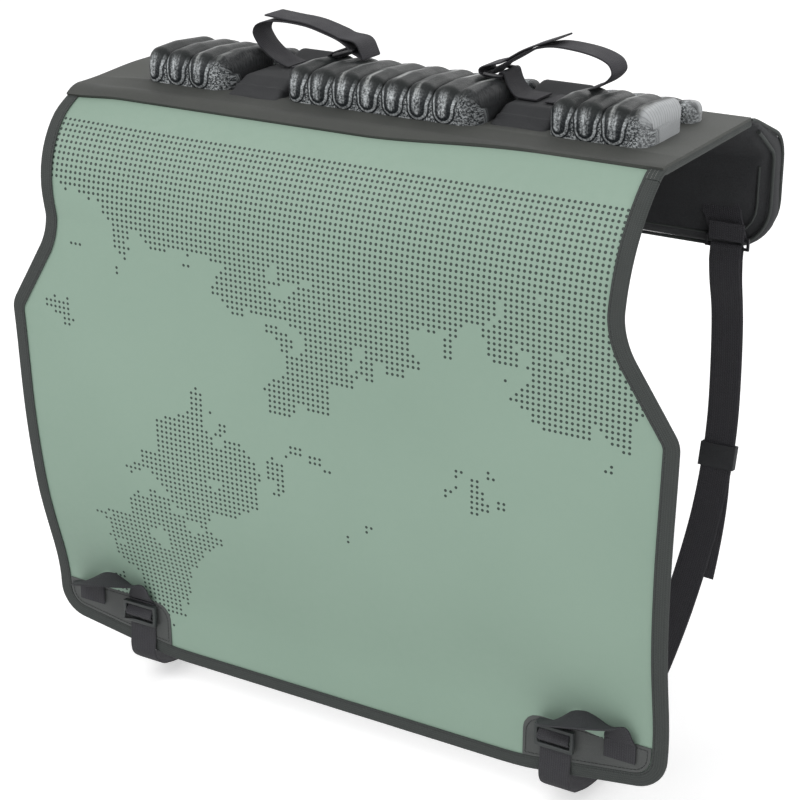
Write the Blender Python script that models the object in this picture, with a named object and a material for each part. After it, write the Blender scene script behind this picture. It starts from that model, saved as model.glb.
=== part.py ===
"""Padded cover that hangs over the tailgate of a pick-up truck and carries bicycles by their down tubes.

Frame: +X to the right as one looks at the printed front panel, +Y into the truck bed, +Z up.
The origin is the middle of the flat underside that rests on the tailgate's top edge.
All sizes are in metres.
"""
import math

import bmesh
import bpy
from mathutils import Matrix, Vector

# Clearances and material thicknesses
GAP = 0.0003
TAPE_END_GAP = 0.0012
SHEET_THICKNESS = 0.0012
FRONT_LINING_THICKNESS = 0.0015
TAPE_THICKNESS = 0.0009
TAPE_LIP = 0.0115
WEBBING_THICKNESS = 0.0016
WEBBING_WIDTH = 0.030

# Top of the pad, where it rests on the tailgate
TOP_HALF_WIDTH = 0.289
TOP_THICKNESS = 0.006
TOP_FRONT = -0.088
TOP_BACK = 0.084
SEAM_BEND_RADIUS = 0.025
SEAM_BEND_ANGLE = math.radians(42)
TOP_PINCH_SLOPE = 0.004

# Front panel: its drop, its outline and the way it hangs
SHOULDER_RADIUS = 0.135
PANEL_DROP = 0.560
PANEL_WAIST_HALF_WIDTH = 0.2835
PANEL_WAIST_DROP = 0.128
PANEL_WAIST_RADIUS = 0.070
PANEL_HIP_HALF_WIDTH = 0.3345
PANEL_HIP_DROP = 0.207
PANEL_HIP_RADIUS = 0.024
PANEL_BOTTOM_HALF_WIDTH = 0.3255
PANEL_CORNER_RADIUS = 0.032
# The lower edge runs straight in the middle and rises a little toward both corners
PANEL_BOTTOM_RISE = 0.0202
PANEL_RISE_FROM_SIDE = 0.1355
PANEL_RISE_RADIUS = 0.250
PANEL_ROW_SPACING = 0.020
# How far the hanging sheet stands back, at shares of its hanging length
PANEL_SET_BACK = ((0.0, 0.0), (0.25, 0.004), (0.46, 0.006), (0.64, 0.014), (0.80, 0.030), (0.86, 0.034))
PANEL_BOTTOM_SET_BACK = 0.034

# Flap that hangs on the bed side of the tailgate
FLAP_THICKNESS = 0.020
FLAP_BACK = 0.169
FLAP_BOTTOM = -0.131
FLAP_SLOPE_RADIUS = 0.090
FLAP_SLOPE_ANGLE = math.radians(30)
FLAP_EDGE_RADIUS = 0.022
FLAP_CORNER_RADIUS = 0.042
FLAP_PIPING_RADIUS = 0.0012

# Ridged foam blocks on the top: a row of three, with a channel for a down tube on each side
RIB_FRONT_SHARE = 0.3592
RIB_TOP_SHARE = 0.4735
RIB_HEIGHT = 0.005
BLOCK_ROW_LEFT_MARGIN = 0.057
BLOCK_ROW_RIGHT_MARGIN = 0.0325
BLOCK_CHANNEL = 0.0595
BLOCK_FIRST_RIB = 0.0125
BLOCK_PLAIN_END = 0.029
BLOCK_HEIGHT = 0.028
BLOCK_BACK = 0.020
RIGHT_BLOCK_SET_BACK = 0.008
BLOCK_FRONT = -0.066
BLOCK_EDGE_RADIUS = 0.013
BLOCK_PLAN_RADIUS = 0.016
REAR_BLOCK_HEIGHT = 0.017
REAR_BLOCK_DEPTH = 0.024
REAR_BLOCK_FRONT = 0.036
REAR_RIB_HEIGHT = 0.003
SIDE_BLOCK_RIBS = 3
MIDDLE_BLOCK_RIBS = 7

# Low pads between the blocks, with the straps that hold a frame's down tube
CRADLE_HEIGHT = 0.016
CRADLE_BACK_HEIGHT = 0.022
CRADLE_FRONT = -0.072
RIGHT_CRADLE_SET_BACK = 0.022
CRADLE_FRONT_SLOPE = 0.028
CRADLE_RISE_FRONT = 0.024
CRADLE_RISE_BACK = 0.052
CRADLE_BACK = 0.064
CRADLE_SIDE_CLEARANCE = 0.0035
STRAP_LINE_Y = 0.005
RING_BAR_RADIUS = 0.0017
RING_SIDE_CLEARANCE = 0.002

# Fittings on the front panel's lower corners
PATCH_REACH = 0.1345
PATCH_HEIGHT = 0.044
PATCH_THICKNESS = 0.001
PATCH_CORNER_RADIUS = 0.016
PATCH_EDGE_GAP = 0.0012
PATCH_TOE = 0.002
BUCKLE_FROM_SIDE = 0.102
BUCKLE_WIDTH = 0.038
BUCKLE_LENGTH = 0.022
BUCKLE_THICKNESS = 0.0045
BUCKLE_HEIGHT_ABOVE_BOTTOM = 0.042
BUCKLE_RAIL = 0.0035
BUCKLE_BAR = 0.0035
PULL_LOOP_SPAN = 0.0608
PULL_LOOP_FOOT = 0.0142
PULL_LOOP_RISE = 0.0250
PULL_LOOP_SEWN_LENGTH = 0.0180
PULL_LOOP_STEPS = 36

# Anchor on the flap, the link that hangs from it and the long tension strap
ANCHOR_TOP_FROM_SIDE = 0.063
ANCHOR_BOTTOM_FROM_SIDE = 0.038
ANCHOR_TOP_WIDTH = 0.046
ANCHOR_BOTTOM_WIDTH = 0.034
ANCHOR_TOP_Z = -0.050
ANCHOR_STEP_ABOVE_BOTTOM = 0.042
ANCHOR_STEP_LENGTH = 0.008
ANCHOR_HEM = 0.014
LINK_Z = -0.121
LINK_BAR = 0.0026
LINK_SLOT = 0.0066
LINK_WIDTH = 0.0420
KEEPER_Z = -0.330
KEEPER_LENGTH = 0.023
TAIL_LENGTH = 0.315
TAIL_CLOSING_LENGTH = 0.05
TAIL_SPREAD = 0.3

# Values that follow from the sizes above
TOP_PADDING = TOP_THICKNESS - 2 * (SHEET_THICKNESS + GAP)
FRONT_STACK = SHEET_THICKNESS + GAP + FRONT_LINING_THICKNESS
EDGE_INSET = TAPE_THICKNESS + GAP
# The end tapes grip the top's layers, which are pinched there so that the tape stays off the tailgate
TOP_PINCH = TAPE_THICKNESS + 2 * GAP
BLOCK_ROW = 2 * TOP_HALF_WIDTH - BLOCK_ROW_LEFT_MARGIN - BLOCK_ROW_RIGHT_MARGIN
RIB_STEPS = 2 * (SIDE_BLOCK_RIBS - 1) + MIDDLE_BLOCK_RIBS - 1
RIB_PITCH = (BLOCK_ROW - 2 * BLOCK_CHANNEL - 3 * (BLOCK_FIRST_RIB + BLOCK_PLAIN_END)) / RIB_STEPS
RIB_FRONT_HALF_WIDTH = RIB_FRONT_SHARE * RIB_PITCH
RIB_TOP_HALF_WIDTH = RIB_TOP_SHARE * RIB_PITCH
PATCH_INNER_X = PANEL_BOTTOM_HALF_WIDTH - PATCH_REACH
BUCKLE_X = PANEL_BOTTOM_HALF_WIDTH - BUCKLE_FROM_SIDE
ANCHOR_TOP_X = TOP_HALF_WIDTH - ANCHOR_TOP_FROM_SIDE
ANCHOR_BOTTOM_X = TOP_HALF_WIDTH - ANCHOR_BOTTOM_FROM_SIDE
RIGHT = 1
LEFT = -1
SIDE_NAMES = {LEFT: "left", RIGHT: "right"}


def clear_scene():
    for thing in list(bpy.data.objects):
        bpy.data.objects.remove(thing, do_unlink=True)


def material(name, colour, roughness, metallic=0.0):
    found = bpy.data.materials.get(name)
    if found:
        return found
    made = bpy.data.materials.new(name)
    made.use_nodes = True
    shader = made.node_tree.nodes["Principled BSDF"]
    shader.inputs["Base Color"].default_value = (*colour, 1.0)
    shader.inputs["Roughness"].default_value = roughness
    shader.inputs["Metallic"].default_value = metallic
    made.diffuse_color = (*colour, 1.0)
    return made


def tarpaulin():
    return material("green_tarpaulin", (0.33, 0.42, 0.35), 0.6)


def black_fabric():
    return material("black_fabric", (0.045, 0.048, 0.047), 0.8)


def lining_fabric():
    return material("lining_fabric", (0.03, 0.03, 0.033), 0.9)


def binding_tape():
    return material("binding_tape", (0.035, 0.038, 0.037), 0.8)


def padding_foam():
    return material("padding_foam", (0.25, 0.25, 0.25), 0.9)


def block_foam():
    return material("block_foam", (0.2, 0.21, 0.22), 0.35)


def webbing():
    return material("webbing", (0.02, 0.02, 0.022), 0.85)


def moulded_plastic():
    return material("moulded_plastic", (0.015, 0.015, 0.016), 0.4)


def patch_fabric():
    return material("patch_fabric", (0.07, 0.075, 0.075), 0.6)


def add_object(name, mesh_data, surface):
    made = bpy.data.objects.new(name, mesh_data)
    made.data.materials.append(surface)
    bpy.context.scene.collection.objects.link(made)
    return made


def finish_mesh(name, work, surface, sharp_angle=35):
    """Turn the working mesh into an object whose faces point outward."""
    bmesh.ops.recalc_face_normals(work, faces=work.faces)
    made = bpy.data.meshes.new(name)
    work.to_mesh(made)
    work.free()
    made.shade_smooth()
    made.set_sharp_from_angle(angle=math.radians(sharp_angle))
    return add_object(name, made, surface)


def loft(name, sections, surface, closed=False, sharp_angle=35):
    """Skin a row of rings that all have the same number of points."""
    work = bmesh.new()
    rings = []
    for section in sections:
        rings.append([work.verts.new(point) for point in section])
    count = len(rings[0])
    pairs = list(zip(rings, rings[1:]))
    if closed:
        pairs.append((rings[-1], rings[0]))
    for first, second in pairs:
        for index in range(count):
            after = (index + 1) % count
            work.faces.new((first[index], first[after], second[after], second[index]))
    if not closed:
        work.faces.new(list(reversed(rings[0])))
        work.faces.new(rings[-1])
    return finish_mesh(name, work, surface, sharp_angle)


def arc(centre, radius, start, end, steps):
    """Points on a circle about a centre, from one angle to another."""
    points = []
    for index in range(steps + 1):
        angle = start + (end - start) * index / steps
        points.append(Vector((centre[0] + radius * math.cos(angle), centre[1] + radius * math.sin(angle))))
    return points


def rounded_polyline(corners, steps=5):
    """An open outline whose corners, given as (x, y, radius), are rounded with arcs."""
    points = [Vector(corners[0][:2])]
    for before, corner, after in zip(corners, corners[1:], corners[2:]):
        at = Vector(corner[:2])
        back = (Vector(before[:2]) - at).normalized()
        ahead = (Vector(after[:2]) - at).normalized()
        half_angle = back.angle(ahead) / 2
        reach = corner[2] / math.tan(half_angle)
        middle = at + (back + ahead).normalized() * (corner[2] / math.sin(half_angle))
        first = at + back * reach - middle
        last = at + ahead * reach - middle
        turn = first.angle_signed(last)
        for index in range(steps + 1):
            points.append(middle + Matrix.Rotation(-turn * index / steps, 2) @ first)
    points.append(Vector(corners[-1][:2]))
    return points


def smooth_curve(points, steps):
    """A Catmull-Rom curve through points of any dimension."""
    ends = [points[0] * 2 - points[1]] + list(points) + [points[-1] * 2 - points[-2]]
    curve = []
    for a, b, c, d in zip(ends, ends[1:], ends[2:], ends[3:]):
        for index in range(steps):
            t = index / steps
            curve.append(0.5 * (2 * b + (c - a) * t + (2 * a - 5 * b + 4 * c - d) * t * t
                                + (3 * b - 3 * c + d - a) * t ** 3))
    curve.append(points[-1].copy())
    return curve


class Line:
    """A polyline that is read by its own length."""

    def __init__(self, points):
        self.points = points
        self.marks = [0.0]
        for before, after in zip(points, points[1:]):
            self.marks.append(self.marks[-1] + (after - before).length)
        self.length = self.marks[-1]

    def at(self, distance):
        index = 0
        while index < len(self.marks) - 2 and self.marks[index + 1] < distance:
            index += 1
        share = (distance - self.marks[index]) / (self.marks[index + 1] - self.marks[index])
        return self.points[index].lerp(self.points[index + 1], share)

    def direction(self, distance):
        reach = 0.002
        ahead = self.at(min(distance + reach, self.length))
        behind = self.at(max(distance - reach, 0.0))
        return (ahead - behind).normalized()


def bend_line():
    """Outer line from the front end of the flat top to the seam, as (y, z)."""
    centre = (TOP_FRONT, TOP_THICKNESS - SEAM_BEND_RADIUS)
    top = math.pi / 2
    return Line(arc(centre, SEAM_BEND_RADIUS, top, top + SEAM_BEND_ANGLE, 6))


def panel_line():
    """Outer line of the front panel from the seam to its lower edge, as (y, z)."""
    seam = bend_line().points[-1]
    angle = math.pi / 2 + SEAM_BEND_ANGLE
    centre = seam - SHOULDER_RADIUS * Vector((math.cos(angle), math.sin(angle)))
    points = arc(centre, SHOULDER_RADIUS, angle, math.pi, 9)
    hanging = PANEL_DROP - SHOULDER_RADIUS * (math.pi - angle)
    low = points[-1]
    route = []
    for share, set_back in PANEL_SET_BACK:
        route.append(Vector((low.x + set_back, low.y - hanging * share)))
    points += smooth_curve(route, 4)[1:]
    points.append(Vector((low.x + PANEL_BOTTOM_SET_BACK, low.y - hanging)))
    return Line(points)


def outward(line, distance):
    """Unit normal that points away from the tailgate, as (y, z)."""
    along = line.direction(distance)
    return Vector((along.y, -along.x))


def panel_outline(inset=EDGE_INSET):
    """Half of the front panel's cut edge, as (half width, distance below the seam)."""
    bottom = PANEL_DROP - inset
    rise = PANEL_BOTTOM_RISE * (1 - inset / PANEL_RISE_FROM_SIDE)
    return rounded_polyline([
        (TOP_HALF_WIDTH - inset, 0.0),
        (PANEL_WAIST_HALF_WIDTH - inset, PANEL_WAIST_DROP, PANEL_WAIST_RADIUS),
        (PANEL_HIP_HALF_WIDTH - inset, PANEL_HIP_DROP, PANEL_HIP_RADIUS),
        (PANEL_BOTTOM_HALF_WIDTH - inset, bottom - rise, PANEL_CORNER_RADIUS - inset),
        (PANEL_BOTTOM_HALF_WIDTH - PANEL_RISE_FROM_SIDE, bottom, PANEL_RISE_RADIUS),
        (0.0, bottom),
    ], steps=5)


def width_at(outline, distance):
    """Half width of an outline at a distance along the sheet."""
    for before, after in zip(outline, outline[1:]):
        if before.y <= distance <= after.y and after.y > before.y:
            share = (distance - before.y) / (after.y - before.y)
            return before.x + (after.x - before.x) * share
    return outline[-2].x


def panel_rows():
    """Distances for the rows of the hanging sheet: evenly spaced, and at each point of its outline."""
    outline = panel_outline()
    bends = [round(point.y, 6) for point in outline[1:]]
    start = GAP
    end = bends[-1]
    count = round((end - start) / PANEL_ROW_SPACING)
    near = PANEL_ROW_SPACING * 0.3
    rows = {start, end} | set(bends)
    for index in range(1, count):
        row = round(start + (end - start) * index / count, 6)
        if all(abs(bend - row) > near for bend in bends):
            rows.add(row)
    return sorted(rows)


def sheet_section(line, distance, half_width, near, far):
    """Ring of four corners across a sheet between two depths below its outer line."""
    at = line.at(distance)
    normal = outward(line, distance)
    outer = at - normal * near
    inner = at - normal * far
    return [
        Vector((-half_width, outer.x, outer.y)),
        Vector((half_width, outer.x, outer.y)),
        Vector((half_width, inner.x, inner.y)),
        Vector((-half_width, inner.x, inner.y)),
    ]


def front_panel():
    line = panel_line()
    outline = panel_outline()
    sections = []
    for row in panel_rows():
        sections.append(sheet_section(line, row, width_at(outline, row), 0.0, SHEET_THICKNESS))
    return loft("front_panel", sections, tarpaulin())


def front_lining():
    """Soft backing of the front panel, which begins under the bend of the top cover."""
    near = SHEET_THICKNESS + GAP
    far = FRONT_STACK
    bend = bend_line()
    line = panel_line()
    outline = panel_outline()
    sections = []
    for share in (0.04, 0.2, 0.4, 0.6, 0.8):
        sections.append(sheet_section(bend, bend.length * share, outline[0].x, near, far))
    for row in panel_rows():
        sections.append(sheet_section(line, row, width_at(outline, row), near, far))
    return loft("front_lining", sections, lining_fabric())


def channel_section(at, inward, normal, half_thickness, wall=TAPE_THICKNESS, lip=TAPE_LIP):
    """C-shaped section of a folded tape: at is on the cut edge, halfway through the stack."""
    inner = half_thickness + GAP
    outer = inner + wall
    shape = [
        (-GAP - wall, -outer),
        (lip, -outer),
        (lip, -inner),
        (-GAP, -inner),
        (-GAP, inner),
        (lip, inner),
        (lip, outer),
        (-GAP - wall, outer),
    ]
    return [at + inward * i + normal * n for i, n in shape]


def folded_tape(name, stations, surface):
    """Tape folded over an edge: stations hold a point, the stack's normal and half its thickness."""
    sections = []
    last = len(stations) - 1
    for index, (at, normal, half_thickness) in enumerate(stations):
        along = (stations[min(index + 1, last)][0] - stations[max(index - 1, 0)][0]).normalized()
        inward = normal.cross(along).normalized()
        square_normal = along.cross(inward).normalized()
        sections.append(channel_section(at, inward, square_normal, half_thickness))
    return loft(name, sections, surface)


def mirrored_path(points):
    """A path down the left side, across the bottom and up the right side."""
    left = [Vector((-point.x, point.y)) for point in points[:-1]]
    right = [Vector((point.x, point.y)) for point in reversed(points[:-1])]
    return left + right


def front_binding():
    line = panel_line()
    outline = panel_outline()
    bottom = outline[-1].y
    side = [Vector((width_at(outline, row), row)) for row in panel_rows() if row < bottom - GAP]
    side[0].y = TAPE_END_GAP
    side += [outline[-2], outline[-1]]
    stations = []
    for point in mirrored_path(side):
        normal = outward(line, point.y)
        at = line.at(point.y) - normal * FRONT_STACK / 2
        stations.append((Vector((point.x, at.x, at.y)), Vector((0, normal.x, normal.y)), FRONT_STACK / 2))
    return folded_tape("front_binding", stations, binding_tape())


def top_cover():
    """Charcoal sheet from the seam with the front panel back to the seam with the flap."""
    bend = bend_line()
    half_width = TOP_HALF_WIDTH - EDGE_INSET
    sections = []
    for share in (1.0, 0.8, 0.6, 0.4, 0.2, 0.0):
        sections.append(sheet_section(bend, bend.length * share, half_width, 0.0, SHEET_THICKNESS))
    flat = Line([Vector((TOP_FRONT, TOP_THICKNESS)), Vector((TOP_BACK - GAP, TOP_THICKNESS))])
    back = []
    for distance in (0.5 * flat.length, flat.length):
        at = flat.at(distance)
        low = at.y - SHEET_THICKNESS
        back.append([
            Vector((-half_width, at.x, at.y)),
            Vector((half_width, at.x, at.y)),
            Vector((half_width, at.x, low)),
            Vector((-half_width, at.x, low)),
        ])
    return loft("top_cover", sections + back, black_fabric())


def top_layer(name, low, high, upper_rise, surface):
    """Flat layer of the top, whose underside rises at both ends, where the tapes grip it."""
    half_width = TOP_HALF_WIDTH - EDGE_INSET
    grip = half_width - TAPE_LIP - GAP
    half_line = ((half_width, 1.0), (grip, 1.0), (grip - TOP_PINCH_SLOPE, 0.0))
    line = [(-x, share) for x, share in half_line] + [(x, share) for x, share in reversed(half_line)]
    sections = []
    for y in (TOP_FRONT + GAP, TOP_BACK - GAP):
        under = [Vector((x, y, low + TOP_PINCH * share)) for x, share in line]
        over = [Vector((x, y, high + upper_rise * share)) for x, share in reversed(line)]
        sections.append(under + over)
    return loft(name, sections, surface)


def top_padding():
    low = SHEET_THICKNESS + GAP
    return top_layer("top_padding", low, low + TOP_PADDING, 0.0, padding_foam())


def top_lining():
    return top_layer("top_lining", 0.0, SHEET_THICKNESS, TOP_PINCH, lining_fabric())


def top_edge_tape(side):
    """Stitched tape folded over one end of the top and over the short bend in front of it."""
    edge = side * (TOP_HALF_WIDTH - EDGE_INSET)
    bend = bend_line()
    middle = (TOP_THICKNESS + TOP_PINCH) / 2
    half_stack = (TOP_THICKNESS - TOP_PINCH) / 2
    stations = []
    for share in (0.97, 0.8, 0.6, 0.4, 0.2):
        distance = bend.length * share
        normal = outward(bend, distance)
        at = bend.at(distance) - normal * FRONT_STACK / 2
        stations.append((Vector((edge, at.x, at.y)), Vector((0, normal.x, normal.y)), FRONT_STACK / 2))
    for y in (TOP_FRONT + GAP, TOP_BACK - TAPE_END_GAP):
        stations.append((Vector((edge, y, middle)), Vector((0, 0, 1)), half_stack))
    if side == LEFT:
        stations.reverse()
    return folded_tape("top_edge_tape_" + SIDE_NAMES[side], stations, binding_tape())


def flap_line():
    """Outer line of the flap from the top's back edge to its lower edge, as (y, z)."""
    slope = FLAP_SLOPE_ANGLE
    up = math.pi / 2
    points = arc((TOP_BACK, TOP_THICKNESS - FLAP_SLOPE_RADIUS), FLAP_SLOPE_RADIUS, up, up - slope, 5)
    knee_y = FLAP_BACK - FLAP_EDGE_RADIUS * (1 - math.sin(slope))
    run = (knee_y - points[-1].x) / math.cos(slope)
    knee = points[-1] + run * Vector((math.cos(slope), -math.sin(slope)))
    centre = Vector((FLAP_BACK - FLAP_EDGE_RADIUS, knee.y - FLAP_EDGE_RADIUS * math.cos(slope)))
    points += arc(centre, FLAP_EDGE_RADIUS, up - slope, 0.0, 6)
    points.append(Vector((FLAP_BACK, FLAP_BOTTOM + EDGE_INSET)))
    return Line(points)


def flap_normal(distance):
    """Unit normal of the flap that points away from the tailgate, as (y, z)."""
    along = flap_line().direction(distance)
    return Vector((-along.y, along.x))


def flap_depth(distance):
    """The flap's thickness, which grows from the top's to its own before it hangs straight."""
    full = flap_line().marks[-2]
    share = min(distance / full, 1.0)
    return TOP_THICKNESS + (FLAP_THICKNESS - TOP_THICKNESS) * share * share * (3 - 2 * share)


def flap_outline():
    """Half of the flap's cut edge, as (half width, distance down the outer line)."""
    edge = TOP_HALF_WIDTH - EDGE_INSET
    end = flap_line().length
    return rounded_polyline([
        (edge, 0.0),
        (edge, end, FLAP_CORNER_RADIUS),
        (0.0, end),
    ], steps=7)


def flap_stops():
    """Distances for the flap's rows: at each point of its outer line and of its outline."""
    marks = [round(mark, 6) for mark in flap_line().marks[1:-1]]
    bends = [round(point.y, 6) for point in flap_outline()[1:]]
    return sorted({GAP} | set(marks) | set(bends))


def flap_layer(name, near, far, surface):
    """One layer of the flap: near and far are functions of the flap's local thickness."""
    line = flap_line()
    outline = flap_outline()
    sections = []
    for row in flap_stops():
        normal = flap_normal(row)
        depth = flap_depth(row)
        high = line.at(row) - normal * near(depth)
        low = line.at(row) - normal * far(depth)
        half_width = width_at(outline, row)
        sections.append([
            Vector((-half_width, high.x, high.y)),
            Vector((half_width, high.x, high.y)),
            Vector((half_width, low.x, low.y)),
            Vector((-half_width, low.x, low.y)),
        ])
    return loft(name, sections, surface)


def flap_cover():
    return flap_layer("flap_cover", lambda depth: 0.0, lambda depth: SHEET_THICKNESS, black_fabric())


def flap_padding():
    skin = SHEET_THICKNESS + GAP
    return flap_layer("flap_padding", lambda depth: skin, lambda depth: depth - skin, padding_foam())


def flap_lining():
    return flap_layer("flap_lining", lambda depth: depth - SHEET_THICKNESS, lambda depth: depth, lining_fabric())


def flap_edge():
    """Gusset strip folded round the flap's sides and lower edge."""
    line = flap_line()
    outline = flap_outline()
    bottom = outline[-1].y
    side = [Vector((width_at(outline, row), row)) for row in flap_stops() if row < bottom - GAP]
    side[0].y = TAPE_END_GAP
    side += [outline[-2], outline[-1]]
    stations = []
    for point in mirrored_path(side):
        normal = flap_normal(point.y)
        half_thickness = flap_depth(point.y) / 2
        middle = line.at(point.y) - normal * half_thickness
        stations.append((Vector((point.x, middle.x, middle.y)), Vector((0, normal.x, normal.y)), half_thickness))
    stations.reverse()
    return folded_tape("flap_edge", stations, black_fabric())


def tube(name, path, radius, surface, sides=6, closed=False):
    """Round bar along a path that lies in one plane or bends gently."""
    sections = []
    last = len(path) - 1
    for index, at in enumerate(path):
        before = path[index - 1] if closed or index > 0 else path[0]
        after = path[(index + 1) % len(path)] if closed or index < last else path[last]
        along = (after - before).normalized()
        helper = Vector((0, 1, 0)) if abs(along.y) < 0.9 else Vector((1, 0, 0))
        across = along.cross(helper).normalized()
        up = across.cross(along).normalized()
        ring = []
        for step in range(sides):
            angle = 2 * math.pi * (step + 0.5) / sides
            ring.append(at + radius * (math.cos(angle) * across + math.sin(angle) * up))
        sections.append(ring)
    return loft(name, sections, surface, closed=closed, sharp_angle=60)


def flap_piping():
    """Thin piping on the flap's inner face, along the inner edge of the gusset strip."""
    face = FLAP_BACK - FLAP_THICKNESS
    inset = TAPE_LIP + EDGE_INSET + FLAP_PIPING_RADIUS + 2 * GAP
    half_width = TOP_HALF_WIDTH - inset
    bottom = FLAP_BOTTOM + inset
    outline = rounded_polyline([
        (half_width, ANCHOR_TOP_Z),
        (half_width, bottom, FLAP_CORNER_RADIUS - TAPE_LIP),
        (0.0, bottom),
    ], steps=6)
    y = face - FLAP_PIPING_RADIUS - GAP
    path = [Vector((point.x, y, point.y)) for point in mirrored_path(outline)]
    return tube("flap_piping", path, FLAP_PIPING_RADIUS, binding_tape())


def block_side_outline(depth, height, edge_radius):
    """Side view of a block from its front foot over the top to its rear foot, as (y, z)."""
    crown = height * 1.02
    return rounded_polyline([
        (0.0, 0.0),
        (0.0, height * 0.96, edge_radius),
        (depth * 0.42, crown, depth * 0.3),
        (depth, height * 0.86, edge_radius * 1.15),
        (depth, 0.0),
    ], steps=4)


def rib_lift(x, distance, line, ribs, half_front, half_top, height, face_height):
    """How far a rib raises the block's surface at a place across it and along its outline."""
    lift = 0.0
    for centre, starts_on_top in ribs:
        start = face_height * 1.05 if starts_on_top else half_front + 0.0025
        end = line.length - face_height * 0.9
        beyond = max(start - distance, 0.0, distance - end)
        share = min(max((distance - face_height * 0.5) / (face_height * 0.6), 0.0), 1.0)
        half_width = half_front + (half_top - half_front) * share
        reach = math.hypot((x - centre) / half_width, beyond / half_front)
        if reach < 1.0:
            lift = max(lift, height * math.sqrt(1.0 - reach * reach))
    return lift


def corner_inset(to_end, radius):
    """How far a rounded end draws its surface in, at a distance from the end."""
    if to_end >= radius:
        return 0.0
    return radius - math.sqrt(radius ** 2 - (radius - to_end) ** 2)


def ridged_block(name, left_x, rib_count, front, depth, height, rib_height):
    """Moulded foam block whose ribs run over the top and down the front as rounded fingers."""
    length = block_length(rib_count)
    edge_radius = min(BLOCK_EDGE_RADIUS, height * 0.4)
    line = Line(block_side_outline(depth, height, edge_radius))
    centres = [BLOCK_FIRST_RIB + index * RIB_PITCH for index in range(rib_count)]
    plain = centres[-1] + RIB_PITCH * 0.5 + RIB_TOP_HALF_WIDTH * 0.75
    ribs = [(centre, False) for centre in centres] + [(plain, True)]
    columns = set()
    for centre in centres:
        for share in (-1.0, -0.72, -0.28, 0.28, 0.72, 1.0):
            columns.add(round(centre + share * RIB_TOP_HALF_WIDTH, 6))
    for share in (-0.7, -0.2, 0.3):
        columns.add(round(plain + share * RIB_TOP_HALF_WIDTH, 6))
    plan_radius = min(BLOCK_PLAN_RADIUS, depth * 0.4)
    top_radius = edge_radius * 0.85
    rounding = [plan_radius * share for share in (0.0, 0.1, 0.35, 0.7)]
    columns = {x for x in columns if plan_radius * 0.8 < x < length - plan_radius * 0.8}
    columns |= set(rounding) | {length - x for x in rounding}
    rows = [line.length * share for share in (0.0, 0.03, 0.07, 0.12, 0.17, 0.21, 0.25, 0.30, 0.38, 0.5,
                                              0.62, 0.72, 0.78, 0.83, 0.88, 1.0)]
    foot = TOP_THICKNESS + GAP
    sections = []
    for x in sorted(columns):
        to_end = min(x, length - x)
        plan_inset = corner_inset(to_end, plan_radius)
        top_inset = corner_inset(to_end, top_radius)
        ring = []
        for row in rows:
            at = line.at(row)
            along = line.direction(row)
            normal = Vector((-along.y, along.x))
            if row in (rows[0], rows[-1]):
                normal = Vector((math.copysign(1.0, normal.x), 0.0))
            lift = rib_lift(x, row, line, ribs, RIB_FRONT_HALF_WIDTH, RIB_TOP_HALF_WIDTH, rib_height, height)
            lift *= 1.0 - plan_inset / plan_radius
            y = at.x + normal.x * (lift - plan_inset)
            z = max(at.y + normal.y * (lift - top_inset), 0.0)
            ring.append(Vector((left_x + x, front + y, foot + z)))
        sections.append(ring)
    return loft(name, sections, block_foam(), sharp_angle=50)


def block_length(rib_count):
    return BLOCK_FIRST_RIB + (rib_count - 1) * RIB_PITCH + BLOCK_PLAIN_END


def block_left_edges():
    """Left end of each block and its number of ribs, by its name."""
    left = BLOCK_ROW_LEFT_MARGIN - TOP_HALF_WIDTH
    middle = left + block_length(SIDE_BLOCK_RIBS) + BLOCK_CHANNEL
    right = middle + block_length(MIDDLE_BLOCK_RIBS) + BLOCK_CHANNEL
    return {
        "left": (left, SIDE_BLOCK_RIBS),
        "middle": (middle, MIDDLE_BLOCK_RIBS),
        "right": (right, SIDE_BLOCK_RIBS),
    }


def block_right_edge(place):
    left_x, rib_count = block_left_edges()[place]
    return left_x + block_length(rib_count)


def foam_blocks():
    for place, (left_x, rib_count) in block_left_edges().items():
        front = BLOCK_FRONT + (RIGHT_BLOCK_SET_BACK if place == "right" else 0.0)
        ridged_block("front_block_" + place, left_x, rib_count, front, BLOCK_BACK - front,
                     BLOCK_HEIGHT, RIB_HEIGHT)
        ridged_block("rear_block_" + place, left_x, rib_count, REAR_BLOCK_FRONT, REAR_BLOCK_DEPTH,
                     REAR_BLOCK_HEIGHT, REAR_RIB_HEIGHT)


def channel_span(side):
    """Left and right walls of the gap between two blocks."""
    if side == LEFT:
        return block_right_edge("left"), block_left_edges()["middle"][0]
    return block_right_edge("middle"), block_left_edges()["right"][0]


def channel_middle(side):
    low, high = channel_span(side)
    return (low + high) / 2


def cradle_pad(side):
    """Low fabric-covered pad that fills the channel between two blocks."""
    low, high = channel_span(side)
    low += CRADLE_SIDE_CLEARANCE
    high -= CRADLE_SIDE_CLEARANCE
    foot = TOP_THICKNESS + GAP
    front = CRADLE_FRONT + (RIGHT_CRADLE_SET_BACK if side == RIGHT else 0.0)
    outline = rounded_polyline([
        (front, 0.0),
        (front + CRADLE_FRONT_SLOPE, CRADLE_HEIGHT, CRADLE_HEIGHT),
        (CRADLE_RISE_FRONT, CRADLE_HEIGHT, CRADLE_HEIGHT),
        (CRADLE_RISE_BACK, CRADLE_BACK_HEIGHT, CRADLE_HEIGHT / 2),
        (CRADLE_BACK, 0.0),
    ], steps=4)
    sections = []
    for x in (low, high):
        sections.append([Vector((x, point.x, foot + point.y)) for point in outline])
    return loft("cradle_pad_" + SIDE_NAMES[side], sections, black_fabric())


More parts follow.
